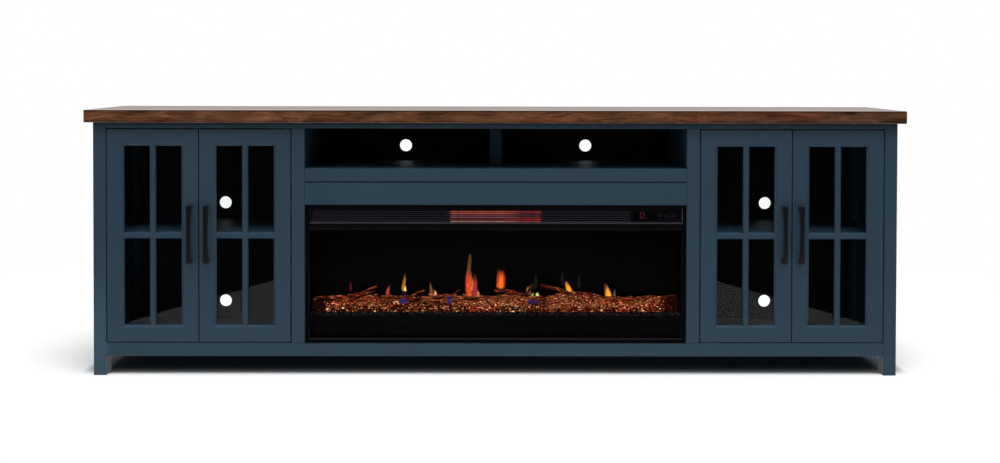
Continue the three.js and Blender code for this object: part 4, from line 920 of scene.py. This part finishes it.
def branches():
    runs = [(points, 0.1) for points in TWIGS] + small_twigs()
    form = join(twig(points, seed, lift) for seed, (points, lift) in enumerate(runs))
    grain = (25.0, 260.0, 260.0)
    bark = glow_material("branch_resin", BARK_STOPS, (0.6, 0.85), grain, (0.7, 1.15), hues=EMBER_HUES)
    made = new_piece("branches_bark", form, bark)
    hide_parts("branches")


# Trims and display of the insert's front
def rectangle(x, y, z, inset=0.0):
    """Four corners at depth y, the inset within the ends of x and of z."""
    left, right, low, high = x[0] + inset, x[1] - inset, z[0] + inset, z[1] - inset
    return [Vector((a, y, b)) for a, b in ((left, low), (right, low), (right, high), (left, high))]


def window_trim(name, lit, dark, outer, inner, bars_painted_lit):
    """A slim mitred frame on the front plate, sloped to its opening; its first bars, from below, take the
    painted lit copy of the metal, the others the painted shade copy.
    """
    steps = ((outer, TRIM_SUNK), (outer, -TRIM_PROUD), (inner, -TRIM_INSIDE), (inner, TRIM_SUNK))
    rings = [rectangle(x, BEZEL_FRONT + depth, z) for (x, z), depth in steps]
    made = new_piece(name, (*loft(rings, closed=True), {}), lit)
    made.data.materials.append(dark)
    for polygon in made.data.polygons:
        polygon.material_index = 0 if polygon.index % 4 < bars_painted_lit else 1


def groove_line(material):
    """A chamfered bead along the groove of the front plate."""
    rings = []
    for x in GLASS_OUTER[0]:
        section = ((TRIM_SUNK, 1.0), (-BEAD_PROUD, 0.4), (-BEAD_PROUD, -0.6), (TRIM_SUNK, -1.0))
        rings.append([Vector((x, BEZEL_FRONT + depth, GROOVE_Z + up * BEAD_HALF)) for depth, up in section])
    new_piece("bezel_bead", (*loft(rings), {}), material)


def display_lens():
    """A lens with round corners and a chamfered front edge, closed at the back."""
    rings = []
    for y, shrink in ((LENS_BACK, 0.0), (LENS_FRONT + LENS_CHAMFER, 0.0), (LENS_FRONT, LENS_CHAMFER)):
        ring = []
        for quarter, centre in enumerate(rectangle(LENS_X, y, LENS_Z, LENS_RADIUS)):
            for step in range(5):
                turn = math.tau * (0.5 + quarter / 4 + step / 16)
                ring.append(centre + (LENS_RADIUS - shrink) * Vector((math.cos(turn), 0, math.sin(turn))))
        rings.append(ring)
    new_piece("display_lens", (*loft(rings), {}), black_material("display_lens"))


def digit_marks():
    """The lit bars of a plain 0 and its point, on the display's lens."""
    (left, right), (low, high), width = DIGIT_X, DIGIT_Z, DIGIT_STROKE
    middle = (low + high) / 2
    lower, upper = (low + DIGIT_GAP, middle - DIGIT_GAP), (middle + DIGIT_GAP, high - DIGIT_GAP)
    bars = (
        ((left, left + width), lower, 0.85),
        ((left, left + width), upper, 0.9),
        ((right - width, right), lower, 0.7),
        ((right - width, right), upper, 1.0),
        ((left + width, right - width), (low, low + width), 0.9),
        ((left + width, right - width), (high - width, high), 0.55),
        ((DIGIT_POINT, DIGIT_POINT + width), (low, low + 1.3 * width), 0.8),
    )
    forms = []
    for x, z, tone in bars:
        base = rectangle(x, LENS_FRONT + DIGIT_SUNK, z)
        face = rectangle(x, LENS_FRONT - DIGIT_PROUD, z, DIGIT_CHAMFER)
        forms.append((*loft([base, face]), [tone] * 6))
    look = glow_material("lit_digit", DIGIT_STOPS, (0.3, 0.4), (400.0, 400.0, 400.0), (0.95, 1.05))
    new_piece("display_digit", join(forms), look)


def front_trims():
    # Painted light on the trims: lit on the vent trim's bottom and right bars, half lit on the glass trim's
    # bottom bar and the bead, shade on the rest
    lit, dim, dark = (black_material(name) for name in ("painted_lit_trim", "painted_half_lit_trim", "painted_shade_trim"))
    window_trim("vent_trim", lit, dark, VENT_OUTER, VENT_INNER, 2)
    window_trim("glass_trim", dim, dark, GLASS_OUTER, GLASS_INNER, 1)
    groove_line(dim)
    display_lens()
    digit_marks()


def soft_edges():
    """Small rounded arrises, which catch the light along each board."""
    boards = ["top_rail", "bottom_rail", "media_shelf", "media_divider", "fascia_board"]
    boards += both("leg_front", "centre_stile", "adjustable_shelf") + of_doors("frame", "grille")
    for name in boards:
        edge = nodes[name].modifiers.new("arris", "BEVEL")
        edge.width = ARRIS_WIDTH
        edge.segments = 2
        edge.limit_method = "ANGLE"
        edge.angle_limit = math.radians(50)
        edge.use_clamp_overlap = True


# Flames
def flame_material():
    material, tree, shader = new_material("flame_light", Base_Color=0, Roughness=1.0, Specular_IOR_Level=0)
    glow = add_node("Attribute", {}, tree, attribute_name="glow").outputs
    streaks = noise_of(object_place(tree, (380.0, 1.0, 45.0)), 1.0, 3.0, 0.6, 0.8)
    lit = tinted(glow["Color"], blend(streaks, 0.38, 1.45))
    wire(shader, Emission_Color=lit, Emission_Strength=FLAME_LEVEL, Alpha=glow["Alpha"])
    return material


def flame(name, material, x, foot, height, width, lean, fullness, ragged, core, rim, tip):
    """A tongue of light on the flame screen: a thin closed lens, with the glow on its front."""
    columns, rows = 14, 30
    wave = 9 * noise.noise(Vector((x * 40, 0, 0)))
    vertices, colours, front, back = [], [], {}, {}
    for row in range(rows + 1):
        v = row / rows
        half = width / 2 * min(1.0, 0.6 + 3 * v) * (1 - v ** fullness) ** 0.7 + 0.0004
        centre = x + lean * v ** 1.4 + 0.0012 * math.sin(6 * v + wave)
        for column in range(columns + 1):
            u = 2 * column / columns - 1
            edge = 1 - u * u
            torn = ragged * max(0.0, 0.5 + 1.3 * noise.noise(Vector((u * 2.4 + 50 * x, 0, 3.0))))
            fade = clamp((1 - v) * (0.9 + 1.6 * (1 - torn * v)) * max(1.0, fullness / 2))
            heat = edge * (1 - 0.55 * v)
            tint = Vector(rim).lerp(Vector(core), heat).lerp(Vector(tip), clamp(2.6 * v - 1.5))
            around = row in (0, rows) or column in (0, columns)
            front[row, column] = back[row, column] = len(vertices)
            vertices.append(Vector((centre + u * half, FLAME_BACK - FLAME_BULGE * edge, foot + height * v)))
            soft = edge ** 1.7 * (0.85 + 0.5 * noise.noise(Vector((u * 3.0 + 90 * x, 2.5 * v, 7.0))))
            colours.append((*tint, 0.0 if around else min(1.0, 1.7 * soft) * fade * min(1.0, 0.3 + 5 * v)))
            if not around:
                back[row, column] = len(vertices)
                vertices.append(Vector((centre + u * half, FLAME_BACK + 0.0002, foot + height * v)))
                colours.append((*tint, 0.0))
    faces = []
    for r in range(rows):
        for c in range(columns):
            corners = [(r, c), (r, c + 1), (r + 1, c + 1), (r + 1, c)]
            if (2 * r < rows) != (2 * c < columns):
                corners = corners[1:] + corners[:1]
            for three in (corners[:3], corners[2:] + corners[:1]):
                faces.append([front[corner] for corner in three])
                faces.append([back[corner] for corner in reversed(three)])
    made = new_piece(name, (vertices, faces, {}), material)
    glow = made.data.color_attributes.new("glow", "FLOAT_COLOR", "POINT")
    for i, colour in enumerate(colours):
        glow.data[i].color = colour


def flames():
    material = flame_material()
    for number, row in enumerate(FLAMES, 1):
        flame(f"flame_{number}", material, *row)


# The stage: a pale floor, a white surround and soft lamps
def floor():
    """Diffuse round the object, where it keeps the shadow and a painted shadow under the object, and white
    far away; mirrors see a lit pool.
    """
    bpy.ops.mesh.primitive_plane_add(size=80.0, location=(0, 0, 0))
    ground = bpy.context.object
    ground.name = "floor"
    material, tree, shader = new_material("floor", Roughness=0.9, Specular_IOR_Level=0.0)
    place = add_node("NewGeometry", {}, tree).outputs["Position"]
    x, y, _ = axes(place)
    aside, depth = math_node("ABSOLUTE", x), math_node("ABSOLUTE", y)
    ahead = times(math_node("SUBTRACT", POOL_FROM, y), POOL_SPREAD)
    pool = spread(math_node("ADD", aside, ahead), 1.0, 0.01, *POOL_EDGE)
    # Painted shadow on the floor under the object
    painted_shadow = times(fall(aside, *PAINTED_SHADOW_SIDE), ramp(rise(depth, *PAINTED_SHADOW_DEPTH), PAINTED_SHADOW_STOPS))
    wire(shader, Base_Color=mix(painted_shadow, FLOOR_TONE, PAINTED_SHADOW_TONE))
    away = add_node("VectorMath", {0: place}, operation="LENGTH").outputs["Value"]
    near = spread(y, AHEAD_WHITE, BESIDE_WHITE, *WHITE_DEPTH)
    far = math_node("MAXIMUM", near, rise(away, *WHITE_AWAY))
    seen, glossy = seen_rays(tree)
    mirrored = math_node("GREATER_THAN", glossy, seen)
    white = times(seen, far, math_node("SUBTRACT", 1.0, painted_shadow))
    share = math_node("MAXIMUM", mirrored, white)
    glow = add_node("Emission", {"Color": WHITE, "Strength": spread(mirrored, 1.0, pool)})
    mix_shaders(share, shader, glow)
    ground.data.materials.append(material)


def surround():
    """White to look at and through. Mirrors see white behind and above the object, and dim ahead."""
    world = bpy.data.worlds.new("surround")
    bpy.context.scene.world = world
    world.use_nodes = True
    tree = world.node_tree
    _, y, z = axes(add_node("TexCoord", {}, tree).outputs["Generated"])
    behind, above = spread(y, 0.012, 1.0, -0.25, 0.3), rise(z, 0.45, 0.85)
    seen, glossy = seen_rays(tree)
    unseen = spread(glossy, WORLD_LIGHT, math_node("MAXIMUM", behind, above))
    fill(tree.nodes["Background"], {"Color": WHITE, "Strength": spread(seen, unseen, 1.0)})


def lamps():
    """Soft lamps; azimuth is 0 ahead of the front and + to the right, and all angles are in degrees."""
    for name, azimuth, elevation, softness, strength in SUNS:
        data = bpy.data.lights.new(name, "SUN")
        data.energy = strength
        data.angle = math.radians(softness)
        made = bpy.data.objects.new(name, data)
        turn, lift = math.radians(azimuth), math.radians(elevation)
        source = Vector((math.sin(turn) * math.cos(lift), -math.cos(turn) * math.cos(lift), math.sin(lift)))
        made.rotation_euler = source.to_track_quat("Z", "Y").to_euler()
        bpy.context.scene.collection.objects.link(made)
        made.visible_glossy = False


def camera():
    data = bpy.data.cameras.new("photo_camera")
    data.sensor_width = 36.0
    data.lens = CAMERA_LENS
    data.shift_y = CAMERA_SHIFT
    made = bpy.data.objects.new("photo_camera", data)
    bpy.context.scene.collection.objects.link(made)
    level = math.cos(CAMERA_PITCH)
    forward = Vector((math.sin(CAMERA_YAW) * level, math.cos(CAMERA_YAW) * level, -math.sin(CAMERA_PITCH)))
    turn = Matrix.Rotation(-CAMERA_ROLL, 3, forward)
    across = forward.cross(Vector((0, 0, 1))).normalized()
    right, up = turn @ across, turn @ across.cross(forward)
    aimed = Matrix((right, up, -forward)).transposed().to_4x4()
    made.matrix_world = Matrix.Translation(CAMERA_PLACE) @ aimed
    bpy.context.scene.camera = made


camera()
cabinet_looks()
insert_looks()
embers()
branches()
flames()
front_trims()
soft_edges()
floor()
surround()
lamps()

bpy.context.scene.view_settings.view_transform = "Standard"
